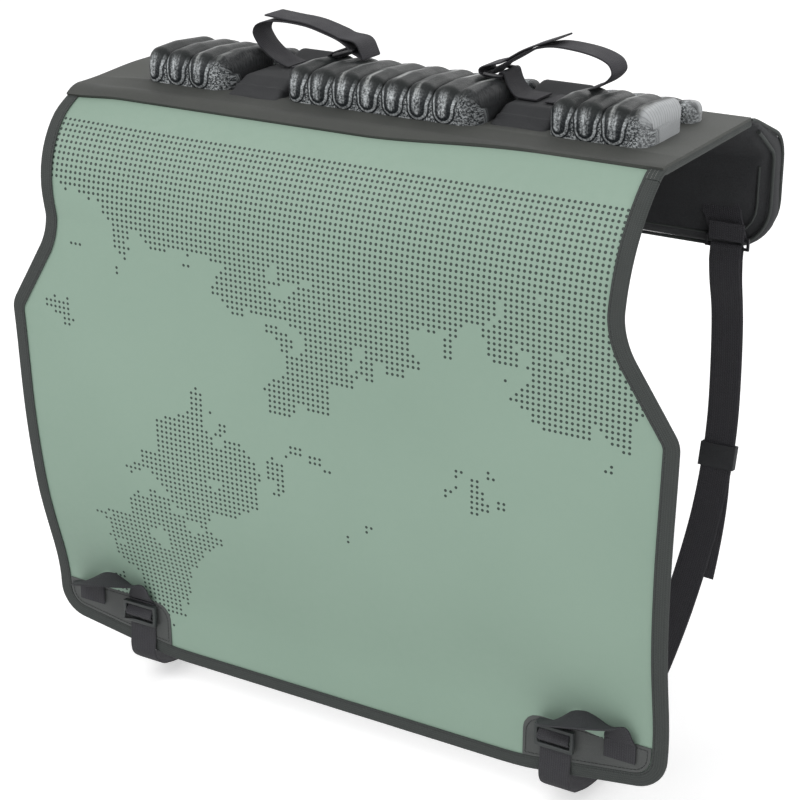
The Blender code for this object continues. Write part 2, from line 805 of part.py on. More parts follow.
def ribbon(name, route, sides, widths, surface, square=True):
    """Flat strap along a route: sides are its width directions and widths its widths."""
    sections = []
    last = len(route) - 1
    for index, at in enumerate(route):
        along = (route[min(index + 1, last)] - route[max(index - 1, 0)]).normalized()
        across = sides[index]
        if square:
            across = (across - along * across.dot(along)).normalized()
        face = along.cross(across).normalized()
        half_width = widths[index] / 2
        half = WEBBING_THICKNESS / 2
        sections.append([
            at - across * half_width - face * half,
            at + across * half_width - face * half,
            at + across * half_width + face * half,
            at - across * half_width + face * half,
        ])
    return loft(name, sections, surface, sharp_angle=50)


# Routes of the frame straps, as (distance from the channel's middle toward the middle block,
# height above the top). Each leaves the cradle pad, loops over and comes down to the ring.
FRAME_STRAP_ROUTES = {
    LEFT: ((-0.0060, 0.0175), (-0.0160, 0.0176), (-0.0240, 0.0205), (-0.0280, 0.0295), (-0.0325, 0.0375),
           (-0.0355, 0.0460), (-0.0330, 0.0530), (-0.0240, 0.0575), (-0.0050, 0.0595), (0.0175, 0.0585),
           (0.0400, 0.0545), (0.0560, 0.0480)),
    RIGHT: ((-0.0060, 0.0175), (-0.0160, 0.0176), (-0.0235, 0.0215), (-0.0280, 0.0300), (-0.0365, 0.0355),
            (-0.0500, 0.0390), (-0.0605, 0.0450), (-0.0640, 0.0530), (-0.0560, 0.0600), (-0.0350, 0.0630),
            (-0.0100, 0.0615), (0.0145, 0.0560), (0.0305, 0.0500), (0.0430, 0.0440)),
}
# Loose bends beyond the ring's far bar, and where the returning layer meets the other one
STRAP_BENDS = {
    LEFT: ((0.0770, 0.0388), (0.0830, 0.0410), (0.0850, 0.0450), (0.0820, 0.0490), (0.0740, 0.0515)),
    RIGHT: ((0.0620, 0.0378), (0.0655, 0.0405), (0.0660, 0.0445), (0.0625, 0.0480), (0.0550, 0.0495)),
}
RETURN_STARTS = {LEFT: 0.0560, RIGHT: 0.0400}
# Where the returning layer leaves the other one, and its free end
FREE_ENDS = {
    LEFT: (-0.0120, (-0.0350, 0.0620)),
    RIGHT: (-0.0020, (-0.0225, 0.0715)),
}
RING_FAR_BARS = {LEFT: (0.0700, 0.0415), RIGHT: (0.0550, 0.0405)}
RING_NEAR_BARS = {LEFT: (0.0480, 0.0405), RIGHT: (0.0375, 0.0410)}
RING_WRAP_STARTS = {LEFT: math.pi * 0.62, RIGHT: math.pi * 0.79}
RING_STRAP_ROUTES = {
    LEFT: ((0.0020, 0.0175), (0.0120, 0.0177), (0.0200, 0.0215), (0.0255, 0.0300), (0.0330, 0.0370)),
    RIGHT: ((0.0020, 0.0175), (0.0100, 0.0176), (0.0180, 0.0200), (0.0235, 0.0275)),
}


def loop_point(side, point):
    """A point of a frame strap's loop."""
    return Vector((channel_middle(side) - side * point[0], STRAP_LINE_Y, TOP_THICKNESS + point[1]))


def wrap_points(bar, start_angle, end_angle, steps):
    """Points of a strap that turns round a ring's bar."""
    radius = RING_BAR_RADIUS + GAP + WEBBING_THICKNESS / 2
    return arc(bar, radius, start_angle, end_angle, steps)


def flat_strap(name, side, flat_route):
    """Strap of the frame loops, whose width runs along Y."""
    route = [loop_point(side, point) for point in flat_route]
    sides = [Vector((0, 1, 0))] * len(route)
    widths = [WEBBING_WIDTH] * len(route)
    return ribbon(name, route, sides, widths, webbing())


def frame_strap(side):
    """Long strap: from the pad over the loop, through the ring and back over itself."""
    bar = Vector(RING_FAR_BARS[side])
    inner = smooth_curve([Vector(point) for point in FRAME_STRAP_ROUTES[side]], 3)
    turn = wrap_points(bar, math.pi * 1.25, math.pi * 1.5, 2)
    layer = WEBBING_THICKNESS + 2 * GAP
    leaves_at, tip = FREE_ENDS[side]
    returning = [Vector(point) for point in STRAP_BENDS[side]]
    top = max(range(len(inner)), key=lambda index: inner[index].y)
    for index in range(len(inner) - 2, top - 12, -1):
        at = inner[index]
        if at.x > RETURN_STARTS[side]:
            continue
        if at.x < leaves_at:
            break
        along = (inner[index + 1] - inner[index - 1]).normalized()
        returning.append(at + layer * Vector((-along.y, along.x)))
    returning.append(Vector(tip))
    return flat_strap("frame_strap_" + SIDE_NAMES[side], side, inner + turn + smooth_curve(returning, 2))


def ring_strap(side):
    """Short strap that holds the ring, sewn to the pad."""
    bar = Vector(RING_NEAR_BARS[side])
    turn = wrap_points(bar, RING_WRAP_STARTS[side], -math.pi * 0.55, 7)
    lead = smooth_curve([Vector(point) for point in RING_STRAP_ROUTES[side]] + [turn[0]], 3)
    return flat_strap("ring_strap_" + SIDE_NAMES[side], side, lead[:-1] + turn)


def rectangle_ring(name, centre, long_axis, short_axis, inner_long, inner_short, radius, surface):
    """Closed ring of round bar with rounded corners."""
    corner = radius * 1.7
    half_long = inner_long / 2 + radius
    half_short = inner_short / 2 + radius
    path = []
    quarter = ((1, 1, 0.0), (-1, 1, 0.5), (-1, -1, 1.0), (1, -1, 1.5))
    for along_sign, across_sign, start in quarter:
        middle = Vector((along_sign * (half_long - corner), across_sign * (half_short - corner)))
        for index in range(4):
            angle = math.pi * (start + 0.5 * index / 3)
            spot = middle + corner * Vector((math.cos(angle), math.sin(angle)))
            path.append(centre + long_axis * spot.x + short_axis * spot.y)
    flat_normal = long_axis.cross(short_axis).normalized()
    sections = []
    count = len(path)
    for index, at in enumerate(path):
        along = (path[(index + 1) % count] - path[index - 1]).normalized()
        across = along.cross(flat_normal).normalized()
        ring = []
        for step in range(6):
            angle = 2 * math.pi * (step + 0.5) / 6
            ring.append(at + radius * (math.cos(angle) * across + math.sin(angle) * flat_normal))
        sections.append(ring)
    return loft(name, sections, surface, closed=True, sharp_angle=60)


def strap_ring(side):
    """Ring that the frame strap turns round."""
    far = loop_point(side, RING_FAR_BARS[side])
    near = loop_point(side, RING_NEAR_BARS[side])
    centre = (far + near) / 2
    short_axis = (far - near).normalized()
    span = (far - near).length - 2 * RING_BAR_RADIUS
    inner_long = WEBBING_WIDTH + 2 * RING_SIDE_CLEARANCE
    return rectangle_ring("strap_ring_" + SIDE_NAMES[side], centre, Vector((0, 1, 0)), short_axis,
                          inner_long, span, RING_BAR_RADIUS, moulded_plastic())


def on_panel(x, distance, lift):
    """A point at a height above the front panel's outer face."""
    line = panel_line()
    at = line.at(distance) + outward(line, distance) * lift
    return Vector((x, at.x, at.y))


def corner_patch(side):
    """Reinforcement on a lower corner of the front panel, inside the binding."""
    outline = panel_outline(EDGE_INSET + TAPE_LIP + PATCH_EDGE_GAP)
    line = panel_line()
    top = outline[-1].y - PATCH_HEIGHT
    rows = [top] + [point.y for point in outline if point.y > top and point.x > PATCH_INNER_X + PATCH_TOE]
    for share in (0.1, 0.3, 0.6, 1.0):
        row = top + PATCH_CORNER_RADIUS * share
        if all(abs(row - other) > PATCH_THICKNESS for other in rows):
            rows.append(row)
    near = GAP
    far = GAP + PATCH_THICKNESS
    sections = []
    for row in sorted(rows):
        from_top = row - top
        inner_x = PATCH_INNER_X
        if from_top < PATCH_CORNER_RADIUS:
            to_centre = min(PATCH_CORNER_RADIUS - from_top, PATCH_CORNER_RADIUS)
            inner_x += PATCH_CORNER_RADIUS - math.sqrt(PATCH_CORNER_RADIUS ** 2 - to_centre ** 2)
        outer_x = width_at(outline, row)
        at = line.at(row)
        normal = outward(line, row)
        low_point = at + normal * near
        high_point = at + normal * far
        sections.append([
            Vector((side * inner_x, high_point.x, high_point.y)),
            Vector((side * outer_x, high_point.x, high_point.y)),
            Vector((side * outer_x, low_point.x, low_point.y)),
            Vector((side * inner_x, low_point.x, low_point.y)),
        ])
    return loft("corner_patch_" + SIDE_NAMES[side], sections, patch_fabric())


def buckle_distance():
    """How far down the panel the buckle's middle sits."""
    return panel_outline()[-1].y - BUCKLE_HEIGHT_ABOVE_BOTTOM


def strap_level():
    """Height of the webbing's middle above the panel where it lies on a patch."""
    return PATCH_THICKNESS + 2 * GAP + WEBBING_THICKNESS / 2


def buckle(side):
    """Ladder-lock buckle: two side rails and three bars, with two slots for the strap."""
    middle = buckle_distance()
    base = strap_level() + WEBBING_THICKNESS / 2 + GAP
    line = panel_line()
    normal = outward(line, middle)
    down = line.direction(middle)
    face = Vector((0, normal.x, normal.y))
    along = Vector((0, down.x, down.y))
    centre = on_panel(side * BUCKLE_X, middle, base + BUCKLE_THICKNESS / 2)
    turn = Matrix((Vector((1, 0, 0)), along, face)).transposed()
    work = bmesh.new()
    half_width = BUCKLE_WIDTH / 2
    half_length = BUCKLE_LENGTH / 2
    slot = (BUCKLE_LENGTH - 3 * BUCKLE_BAR) / 2
    columns = (-half_width, -half_width + BUCKLE_RAIL, half_width - BUCKLE_RAIL, half_width)
    rows = (-half_length, -half_length + BUCKLE_BAR, -half_length + BUCKLE_BAR + slot,
            half_length - BUCKLE_BAR - slot, half_length - BUCKLE_BAR, half_length)
    grid = {}
    for level, z in enumerate((-BUCKLE_THICKNESS / 2, BUCKLE_THICKNESS / 2)):
        for i, x in enumerate(columns):
            for j, y in enumerate(rows):
                grid[i, j, level] = work.verts.new(centre + turn @ Vector((x, y, z)))
    open_cells = {(1, 1), (1, 3)}
    for i in range(3):
        for j in range(5):
            if (i, j) in open_cells:
                continue
            for level in (0, 1):
                work.faces.new((grid[i, j, level], grid[i + 1, j, level],
                                grid[i + 1, j + 1, level], grid[i, j + 1, level]))
            for (di, dj), (a, b) in (((-1, 0), ((0, 0), (0, 1))), ((1, 0), ((1, 0), (1, 1))),
                                     ((0, -1), ((0, 0), (1, 0))), ((0, 1), ((0, 1), (1, 1)))):
                beside = (i + di, j + dj)
                outside = not (0 <= beside[0] < 3 and 0 <= beside[1] < 5)
                if outside or beside in open_cells:
                    first = (i + a[0], j + a[1])
                    second = (i + b[0], j + b[1])
                    work.faces.new((grid[(*first, 0)], grid[(*second, 0)], grid[(*second, 1)], grid[(*first, 1)]))
    return finish_mesh("buckle_" + SIDE_NAMES[side], work, moulded_plastic())


def pull_loop_path():
    """The grab loop's path, as (x and distance above the buckle's middle, angle of its half turn)."""
    path = []
    for index in range(PULL_LOOP_STEPS + 1):
        turn = math.pi * index / PULL_LOOP_STEPS
        x = PULL_LOOP_SPAN / 2 * (1 - math.cos(turn))
        above = PULL_LOOP_FOOT + PULL_LOOP_RISE * math.sin(turn)
        path.append((x, above, turn))
    path.append((PULL_LOOP_SPAN, PULL_LOOP_FOOT / 2, math.pi))
    path.append((PULL_LOOP_SPAN, PULL_LOOP_FOOT - PULL_LOOP_SEWN_LENGTH, math.pi))
    return path


def pull_loop(side):
    """Grab loop of webbing that arches from the buckle to its sewn end beside it."""
    middle = buckle_distance()
    line = panel_line()
    route = []
    sides = []
    for x, above, angle in pull_loop_path():
        distance = middle - above
        height = strap_level() + 2 * GAP + WEBBING_WIDTH / 2 * math.sin(angle)
        route.append(on_panel(side * (BUCKLE_X + x), distance, height))
        normal = outward(line, distance)
        face = Vector((0, normal.x, normal.y))
        sides.append(Vector((side, 0, 0)) * math.cos(angle) - face * math.sin(angle))
    widths = [WEBBING_WIDTH] * len(route)
    return ribbon("pull_loop_" + SIDE_NAMES[side], route, sides, widths, webbing())


def anchor_level(z):
    """Y of the middle of the anchor's sewn layer, which steps over the piping and the gusset strip."""
    face = FLAP_BACK - FLAP_THICKNESS
    flat = face - GAP - WEBBING_THICKNESS / 2
    proud = flat - 2 * FLAP_PIPING_RADIUS - GAP
    step_top = FLAP_BOTTOM + ANCHOR_STEP_ABOVE_BOTTOM
    share = min(max((step_top - z) / ANCHOR_STEP_LENGTH, 0.0), 1.0)
    return flat + (proud - flat) * share


def bar_wrap_radius():
    """Radius of a strap's middle where it turns round a square bar of the link."""
    return LINK_BAR * math.sqrt(0.5) + GAP + WEBBING_THICKNESS / 2


def link_level():
    """Y of the middle of the link that hangs in the anchor's fold."""
    return anchor_level(LINK_Z) - bar_wrap_radius()


def link_centres():
    """Heights of the link's upper and lower bars."""
    half = (LINK_SLOT + LINK_BAR) / 2
    return LINK_Z + half, LINK_Z - half


def strap_anchor(side):
    """Tapered webbing sewn to the flap, folded round the link's upper bar into a short hem."""
    upper, lower = link_centres()
    radius = bar_wrap_radius()
    y_bar = link_level()
    route = []
    widths = []
    step_top = FLAP_BOTTOM + ANCHOR_STEP_ABOVE_BOTTOM
    heights = [ANCHOR_TOP_Z, (ANCHOR_TOP_Z + step_top) / 2, step_top, step_top - ANCHOR_STEP_LENGTH, upper]
    for z in heights:
        share = (ANCHOR_TOP_Z - z) / (ANCHOR_TOP_Z - upper)
        x = ANCHOR_TOP_X + (ANCHOR_BOTTOM_X - ANCHOR_TOP_X) * share
        route.append(Vector((side * x, anchor_level(z), z)))
        widths.append(ANCHOR_TOP_WIDTH + (ANCHOR_BOTTOM_WIDTH - ANCHOR_TOP_WIDTH) * share)
    for point in arc((y_bar, upper), radius, 0.0, -math.pi, 6)[1:]:
        route.append(Vector((side * ANCHOR_BOTTOM_X, point.x, point.y)))
        widths.append(ANCHOR_BOTTOM_WIDTH)
    route.append(Vector((side * ANCHOR_BOTTOM_X, y_bar - radius, upper + ANCHOR_HEM)))
    widths.append(ANCHOR_BOTTOM_WIDTH)
    sides = [Vector((1, 0, 0))] * len(route)
    return ribbon("strap_anchor_" + SIDE_NAMES[side], route, sides, widths, webbing(), square=False)


def strap_link(side):
    """Flat rectangular link between the anchor and the tension strap."""
    work = bmesh.new()
    half_width = LINK_WIDTH / 2
    half_height = LINK_SLOT / 2 + LINK_BAR
    y_low = link_level() - LINK_BAR / 2
    y_high = link_level() + LINK_BAR / 2
    columns = (-half_width, -half_width + LINK_BAR, half_width - LINK_BAR, half_width)
    rows = (-half_height, -LINK_SLOT / 2, LINK_SLOT / 2, half_height)
    grid = {}
    for level, y in enumerate((y_low, y_high)):
        for i, x in enumerate(columns):
            for j, z in enumerate(rows):
                spot = Vector((side * ANCHOR_BOTTOM_X + x, y, LINK_Z + z))
                grid[i, j, level] = work.verts.new(spot)
    for i in range(3):
        for j in range(3):
            if (i, j) == (1, 1):
                continue
            for level in (0, 1):
                work.faces.new((grid[i, j, level], grid[i + 1, j, level],
                                grid[i + 1, j + 1, level], grid[i, j + 1, level]))
    for i in range(3):
        for j in (0, 3):
            work.faces.new((grid[i, j, 0], grid[i + 1, j, 0], grid[i + 1, j, 1], grid[i, j, 1]))
            work.faces.new((grid[j, i, 0], grid[j, i + 1, 0], grid[j, i + 1, 1], grid[j, i, 1]))
    for first, second in (((1, 1), (2, 1)), ((2, 1), (2, 2)), ((2, 2), (1, 2)), ((1, 2), (1, 1))):
        work.faces.new((grid[(*first, 0)], grid[(*second, 0)], grid[(*second, 1)], grid[(*first, 1)]))
    return finish_mesh("strap_link_" + SIDE_NAMES[side], work, moulded_plastic())


# Route of the hanging part of the tension strap, as (share of the way across from the link to the
# buckle, y, z): from the link down behind the front panel and forward under its lower edge.
TENSION_ROUTE = (
    (0.0, 0.1385, -0.138),
    (0.0, 0.1425, -0.158),
    (0.0, 0.1530, -0.195),
    (0.0, 0.1580, -0.250),
    (0.02, 0.1590, -0.300),
    (0.07, 0.1540, -0.345),
    (0.16, 0.1420, -0.392),
    (0.27, 0.1180, -0.440),
    (0.40, 0.0850, -0.488),
    (0.55, 0.0400, -0.532),
    (0.73, -0.0150, -0.562),
    (0.91, -0.0700, -0.568),
    (0.98, -0.1000, -0.562),
)


def tension_route():
    """Points of the hanging part, on the right-hand side."""
    points = []
    for across, y, z in TENSION_ROUTE:
        points.append(Vector((ANCHOR_BOTTOM_X + (BUCKLE_X - ANCHOR_BOTTOM_X) * across, y, z)))
    return points


def tension_start():
    """Front end of the tension strap: from the buckle down over the panel's lower edge."""
    middle = buckle_distance()
    bottom = panel_outline()[-1].y
    level = strap_level()
    points = []
    for distance in (middle - 0.009, middle + 0.004, (middle + bottom) / 2 + 0.002, bottom - 0.006, bottom + 0.001):
        at = on_panel(BUCKLE_X, min(distance, panel_line().length), level)
        points.append(at)
    edge = on_panel(BUCKLE_X, panel_line().length, level)
    points.append(edge + Vector((0.0, 0.0006, -0.0045)))
    points.append(edge + Vector((0.0, 0.0080, -0.0105)))
    return points


def tension_strap(side):
    """One strap: buckle, lower edge, hanging run, fold at the link and a tail behind."""
    upper, lower = link_centres()
    radius = bar_wrap_radius()
    y_bar = link_level()
    front_part = tension_start()
    hanging = tension_route()
    lead = smooth_curve(front_part + hanging[::-1], 2)
    lead.append(Vector((ANCHOR_BOTTOM_X, y_bar - radius, lower - 0.003)))
    fold = [Vector((ANCHOR_BOTTOM_X, point.x, point.y)) for point in arc((y_bar, lower), radius, math.pi, 0.0, 6)]
    tail_line = smooth_curve(hanging, 2)
    layer = WEBBING_THICKNESS + 2 * GAP
    keeper_end = KEEPER_Z - KEEPER_LENGTH
    tail = []
    travelled = 0.0
    for index, at in enumerate(tail_line[:-1]):
        along = (tail_line[index + 1] - at).normalized()
        behind = Vector((0, -along.z, along.y)).normalized()
        closing = max(1.0 - travelled / TAIL_CLOSING_LENGTH, 0.0)
        opening = layer + (2 * radius - layer) * closing
        opening += max(keeper_end - at.z, 0.0) * TAIL_SPREAD
        tail.append(at + behind * opening)
        travelled += (tail_line[index + 1] - at).length
        if travelled > TAIL_LENGTH:
            break
    route = [Vector((side * at.x, at.y, at.z)) for at in lead + fold + tail]
    sides = [Vector((1, 0, 0))] * len(route)
    widths = [WEBBING_WIDTH] * len(route)
    return ribbon("tension_strap_" + SIDE_NAMES[side], route, sides, widths, webbing())


def strap_keeper(side):
    """Fabric sleeve that holds the strap's tail against it."""
    route = smooth_curve(tension_route(), 4)
    near = min(route, key=lambda at: abs(at.z - KEEPER_Z))
    index = route.index(near)
    along = (route[index + 1] - route[index - 1]).normalized()
    behind = Vector((0, -along.z, along.y)).normalized()
    across = Vector((1, 0, 0))
    layer = WEBBING_THICKNESS + 2 * GAP
    centre = Vector((side * near.x, near.y, near.z)) + behind * layer / 2
    inner = (WEBBING_WIDTH / 2 + 0.0012, layer / 2 + WEBBING_THICKNESS / 2 + 0.0010)
    wall = SHEET_THICKNESS
    outer = (inner[0] + wall, inner[1] + wall)
    work = bmesh.new()
    rings = []
    for half_width, half_depth in (outer, inner):
        for end in (-1, 1):
            ring = []
            for sign_x, sign_y in ((-1, -1), (1, -1), (1, 1), (-1, 1)):
                spot = centre + across * sign_x * half_width + behind * sign_y * half_depth
                ring.append(work.verts.new(spot + along * end * KEEPER_LENGTH / 2))
            rings.append(ring)
    outer_low, outer_high, inner_low, inner_high = rings
    for first, second in ((outer_low, outer_high), (inner_low, inner_high),
                          (outer_low, inner_low), (outer_high, inner_high)):
        for index in range(4):
            after = (index + 1) % 4
            work.faces.new((first[index], first[after], second[after], second[index]))
    return finish_mesh("strap_keeper_" + SIDE_NAMES[side], work, black_fabric())


def build():
    clear_scene()
    front_panel()
    front_lining()
    front_binding()
    top_cover()
    top_padding()
    top_lining()
    flap_cover()
    flap_padding()
    flap_lining()
    flap_edge()
    flap_piping()
    foam_blocks()
    for side in (LEFT, RIGHT):
        top_edge_tape(side)
        cradle_pad(side)
        frame_strap(side)
        ring_strap(side)
        strap_ring(side)
        corner_patch(side)
        buckle(side)
        pull_loop(side)
        strap_anchor(side)
        strap_link(side)
        tension_strap(side)
        strap_keeper(side)


build()
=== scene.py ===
# %% [markdown]
# # A bike pad for a tailgate
# The pad hangs over the tailgate of a pick-up truck. Its printed sheet hangs in front, its top lies
# on the tailgate's edge, and a padded flap hangs in the truck bed. The packed CAD model is loaded
# first and stays where it is. Every piece that is made below lies in the same frame, in metres.

import math
from contextlib import contextmanager

import bpy
import numpy as np
from mathutils import Matrix, Vector


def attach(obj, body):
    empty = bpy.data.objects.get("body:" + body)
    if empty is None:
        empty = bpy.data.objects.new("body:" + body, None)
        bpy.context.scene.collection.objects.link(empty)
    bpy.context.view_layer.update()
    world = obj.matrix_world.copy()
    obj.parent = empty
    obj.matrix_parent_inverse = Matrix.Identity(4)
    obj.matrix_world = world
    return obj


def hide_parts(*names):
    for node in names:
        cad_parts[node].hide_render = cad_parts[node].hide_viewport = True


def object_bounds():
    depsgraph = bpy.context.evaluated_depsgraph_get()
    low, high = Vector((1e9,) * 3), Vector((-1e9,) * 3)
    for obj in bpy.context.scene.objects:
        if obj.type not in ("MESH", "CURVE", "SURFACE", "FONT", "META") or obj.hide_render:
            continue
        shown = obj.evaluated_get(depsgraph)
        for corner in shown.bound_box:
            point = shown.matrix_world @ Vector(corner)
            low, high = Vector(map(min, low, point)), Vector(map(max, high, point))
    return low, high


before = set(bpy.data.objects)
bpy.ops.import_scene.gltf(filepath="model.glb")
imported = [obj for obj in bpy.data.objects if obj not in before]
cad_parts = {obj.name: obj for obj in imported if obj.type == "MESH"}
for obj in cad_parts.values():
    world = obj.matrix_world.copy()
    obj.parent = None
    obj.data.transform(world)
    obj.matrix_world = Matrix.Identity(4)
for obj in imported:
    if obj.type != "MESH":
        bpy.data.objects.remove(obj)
cad_box = [[round(value, 5) for value in corner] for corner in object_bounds()]
print("nodes:", len(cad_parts), "CAD box:", cad_box)

# %% [markdown]
# ## Camera
# The photograph was taken with a long lens, from the pad's right and a little above it. A camera can
# be set by eye, but small errors then hide as wrong shapes. This one was solved from corners of the
# pad whose places are known, so the render can be laid over the photograph.


# %% Camera
def placed(name, data):
    """A new object in the scene."""
    piece = bpy.data.objects.new(name, data)
    bpy.context.scene.collection.objects.link(piece)
    return piece


LOOK_DOWN = math.radians(21.95)
LOOK_LEFT = math.radians(30.77)
camera = placed("camera", bpy.data.cameras.new("camera"))
camera.data.lens = 90.57
camera.data.sensor_width = 36.0
camera.data.clip_end = 20.0
camera.location = (0.8777, -1.4796, 0.4180)
camera.rotation_euler = (math.pi / 2 - LOOK_DOWN, 0.0, LOOK_LEFT)
bpy.context.scene.camera = camera
bpy.context.scene.view_settings.view_transform = "Standard"
print("camera at", tuple(camera.location))

# %% [markdown]
# ## Lamps
# The pad stands in a studio between large diffusers, so its shadows are faint and soft-edged. A sun
# or a point lamp would draw hard edges. Square area lamps do what diffusers do: the large one
# stands at the upper left, a weak one on the right, and one lights the back.


# %% Lamps
def soft_lamp(name, place, aim, size, power):
    """A large square lamp that points at the pad."""
    lamp = placed(name, bpy.data.lights.new(name, "AREA"))
    lamp.data.size = size
    lamp.data.energy = power
    lamp.location = place
    lamp.rotation_euler = (Vector(aim) - Vector(place)).to_track_quat("-Z", "Y").to_euler()
    return lamp


key_lamp = soft_lamp("key_lamp", (-1.3, -2.2, 1.9), (0, 0, -0.25), 1.8, 34)
side_lamp = soft_lamp("side_lamp", (2.4, -0.6, 0.6), (0, 0, -0.25), 1.6, 12)
back_lamp = soft_lamp("back_lamp", (0.2, 2.2, 1.6), (0, 0, -0.1), 1.8, 14)
print("lamps:", key_lamp.name, side_lamp.name, back_lamp.name)

# %% [markdown]
# ## Writing materials as sums
# A finish is many small things at once: weave, wear, print. In Blender each is a node, and a large
# network is hard to read, whether it is drawn or scripted. Here one small class stands for a
# socket, and adding or multiplying two of them adds the Math node that does it.


# %% A socket that can be calculated with
class Signal:
    """A shader socket that Python's arithmetic can be written on."""

    def __init__(self, finish, socket):
        self.finish = finish
        self.socket = socket

    def math(self, operation, *others):
        return self.finish.node("ShaderNodeMath", {"operation": operation}, [self, *others])

    def __add__(self, other):
        return self.math("ADD", other)

    def __mul__(self, other):
        return self.math("MULTIPLY", other)

    __radd__ = __add__
    __rmul__ = __mul__

    def __sub__(self, other):
        return self.math("SUBTRACT", other)

    def __rsub__(self, other):
        return self.finish.node("ShaderNodeMath", {"operation": "SUBTRACT"}, [other, self])

    def __truediv__(self, other):
        return self.math("DIVIDE", other)

    def ramp(self, low, high, to_low=0.0, to_high=1.0):
        """A smooth step from to_low at low to to_high at high."""
        values = {"Value": self, "From Min": low, "From Max": high, "To Min": to_low, "To Max": to_high}
        return self.finish.node("ShaderNodeMapRange", {"interpolation_type": "SMOOTHSTEP"}, values)

    def part(self, index):
        """One of the three numbers of a vector."""
        return self.finish.node("ShaderNodeSeparateXYZ", {}, [self], output=index)


print("a signal knows", [name for name in vars(Signal) if not name.startswith("__")])

# %% [markdown]
# ## A finish that is being mixed
# Every material starts as Blender's own Principled shader. The helper below adds any other node in
# one way, so that each finish further down reads as a short recipe. Colours are written as they
# look on a screen, from 0 to 255, and turned into light here.


# %% A material under construction
class Finish:
    """A material under construction."""

    def __init__(self, name):
        self.material = bpy.data.materials.new(name)
        self.material.use_nodes = True
        self.tree = self.material.node_tree
        self.shader = self.tree.nodes["Principled BSDF"]

    def node(self, kind, settings, values, output=0):
        """Any node: its settings are set first, and its sockets then take values or links."""
        made = self.tree.nodes.new(kind)
        for name, value in settings.items():
            setattr(made, name, value)
        entries = values.items() if isinstance(values, dict) else enumerate(values)
        for key, value in entries:
            if isinstance(value, Signal):
                self.tree.links.new(value.socket, made.inputs[key])
            else:
                made.inputs[key].default_value = value
        return Signal(self, made.outputs[output])

    def flat(self):
        """Place on the flat cut of a piece, in metres, from its own UV map."""
        return self.node("ShaderNodeUVMap", {"uv_map": "Flat"}, [])

    def place(self):
        """Place in the object's own frame, in metres."""
        return self.node("ShaderNodeTexCoord", {}, [], output=3)

    def noise(self, at, scale, detail=2.0, roughness=0.5):
        values = {"Vector": at, "Scale": scale, "Detail": detail, "Roughness": roughness}
        return self.node("ShaderNodeTexNoise", {}, values)

    def vector(self, x, y, z=0.0):
        return self.node("ShaderNodeCombineXYZ", {}, [x, y, z])

    def blend(self, share, first, second):
        """A colour between two others."""
        values = {0: share, 6: first, 7: second}
        return self.node("ShaderNodeMix", {"data_type": "RGBA"}, values, output=2)

    def put(self, socket, value):
        target = self.shader.inputs[socket]
        if isinstance(value, Signal):
            self.tree.links.new(value.socket, target)
        else:
            target.default_value = value

    def relief(self, height, distance):
        """Fine relief from a height between 0 and 1."""
        bump = self.node("ShaderNodeBump", {}, {"Height": height, "Distance": distance, "Strength": 1.0})
        self.tree.links.new(bump.socket, self.shader.inputs["Normal"])


def colour(red, green, blue):
    """A colour as it looks on a screen, from 0 to 255, turned into light."""
    def linear(value):
        share = value / 255
        return share / 12.92 if share <= 0.04045 else ((share + 0.055) / 1.055) ** 2.4
    return (linear(red), linear(green), linear(blue), 1.0)


print("a mid grey is", round(colour(128, 128, 128)[0], 3), "in light")

# %% [markdown]
# ## Sky and floor
# The studio has white paper behind the pad and under it. A real sheet of paper would need careful
# lighting to come out plain white. Light Path rays are simpler: the camera, and whatever mirrors
# or lets light through, sees plain white, while the pad itself is lit by a softer grey. The floor
# glows for the camera alone, so only the pad's shadow darkens it.


# %% Sky and floor
SOFT_SKY = 0.62
FLOOR_GAP = 0.012
FLOOR_Z = cad_box[0][2] - FLOOR_GAP


def make_sky():
    sky = bpy.data.worlds.new("sky")
    bpy.context.scene.world = sky
    sky.use_nodes = True
    tree = sky.node_tree
    background = tree.nodes["Background"]
    rays = tree.nodes.new("ShaderNodeLightPath")
    seen = rays.outputs["Is Camera Ray"]
    for kind in ("Is Glossy Ray", "Is Transmission Ray"):
        either = tree.nodes.new("ShaderNodeMath")
        either.operation = "MAXIMUM"
        tree.links.new(seen, either.inputs[0])
        tree.links.new(rays.outputs[kind], either.inputs[1])
        seen = either.outputs[0]
    level = tree.nodes.new("ShaderNodeMapRange")
    level.inputs["To Min"].default_value = SOFT_SKY
    level.inputs["To Max"].default_value = 1.0
    tree.links.new(seen, level.inputs["Value"])
    tree.links.new(level.outputs[0], background.inputs["Strength"])
    background.inputs["Color"].default_value = (1, 1, 1, 1)


def make_floor():
    bpy.ops.object.select_all(action="DESELECT")
    bpy.ops.mesh.primitive_plane_add(size=12.0, location=(0, 0, FLOOR_Z))
    floor = bpy.context.active_object
    floor.name = "floor"
    finish = Finish("floor_paper")
    rays = finish.tree.nodes.new("ShaderNodeLightPath")
    grain = finish.noise(finish.place(), 3.0)
    finish.put("Base Color", finish.blend(grain, colour(246, 246, 246), colour(250, 250, 250)))
    finish.put("Roughness", 0.9)
    camera_only = Signal(finish, rays.outputs["Is Camera Ray"])
    finish.put("Emission Color", finish.blend(camera_only, (0, 0, 0, 1), (1, 1, 1, 1)))
    finish.put("Emission Strength", 0.42)
    floor.data.materials.append(finish.material)


make_sky()
make_floor()
print("floor at", round(FLOOR_Z, 4))

# %% [markdown]
# ## Lines that the pad follows
# The sheets, tapes and webbing all follow lines. Blender's curve objects could carry them, but a
# piece also needs the direction at each place and the length so far. These few helpers make lines
# from straight runs, arcs and smooth curves, and read them by their own length.


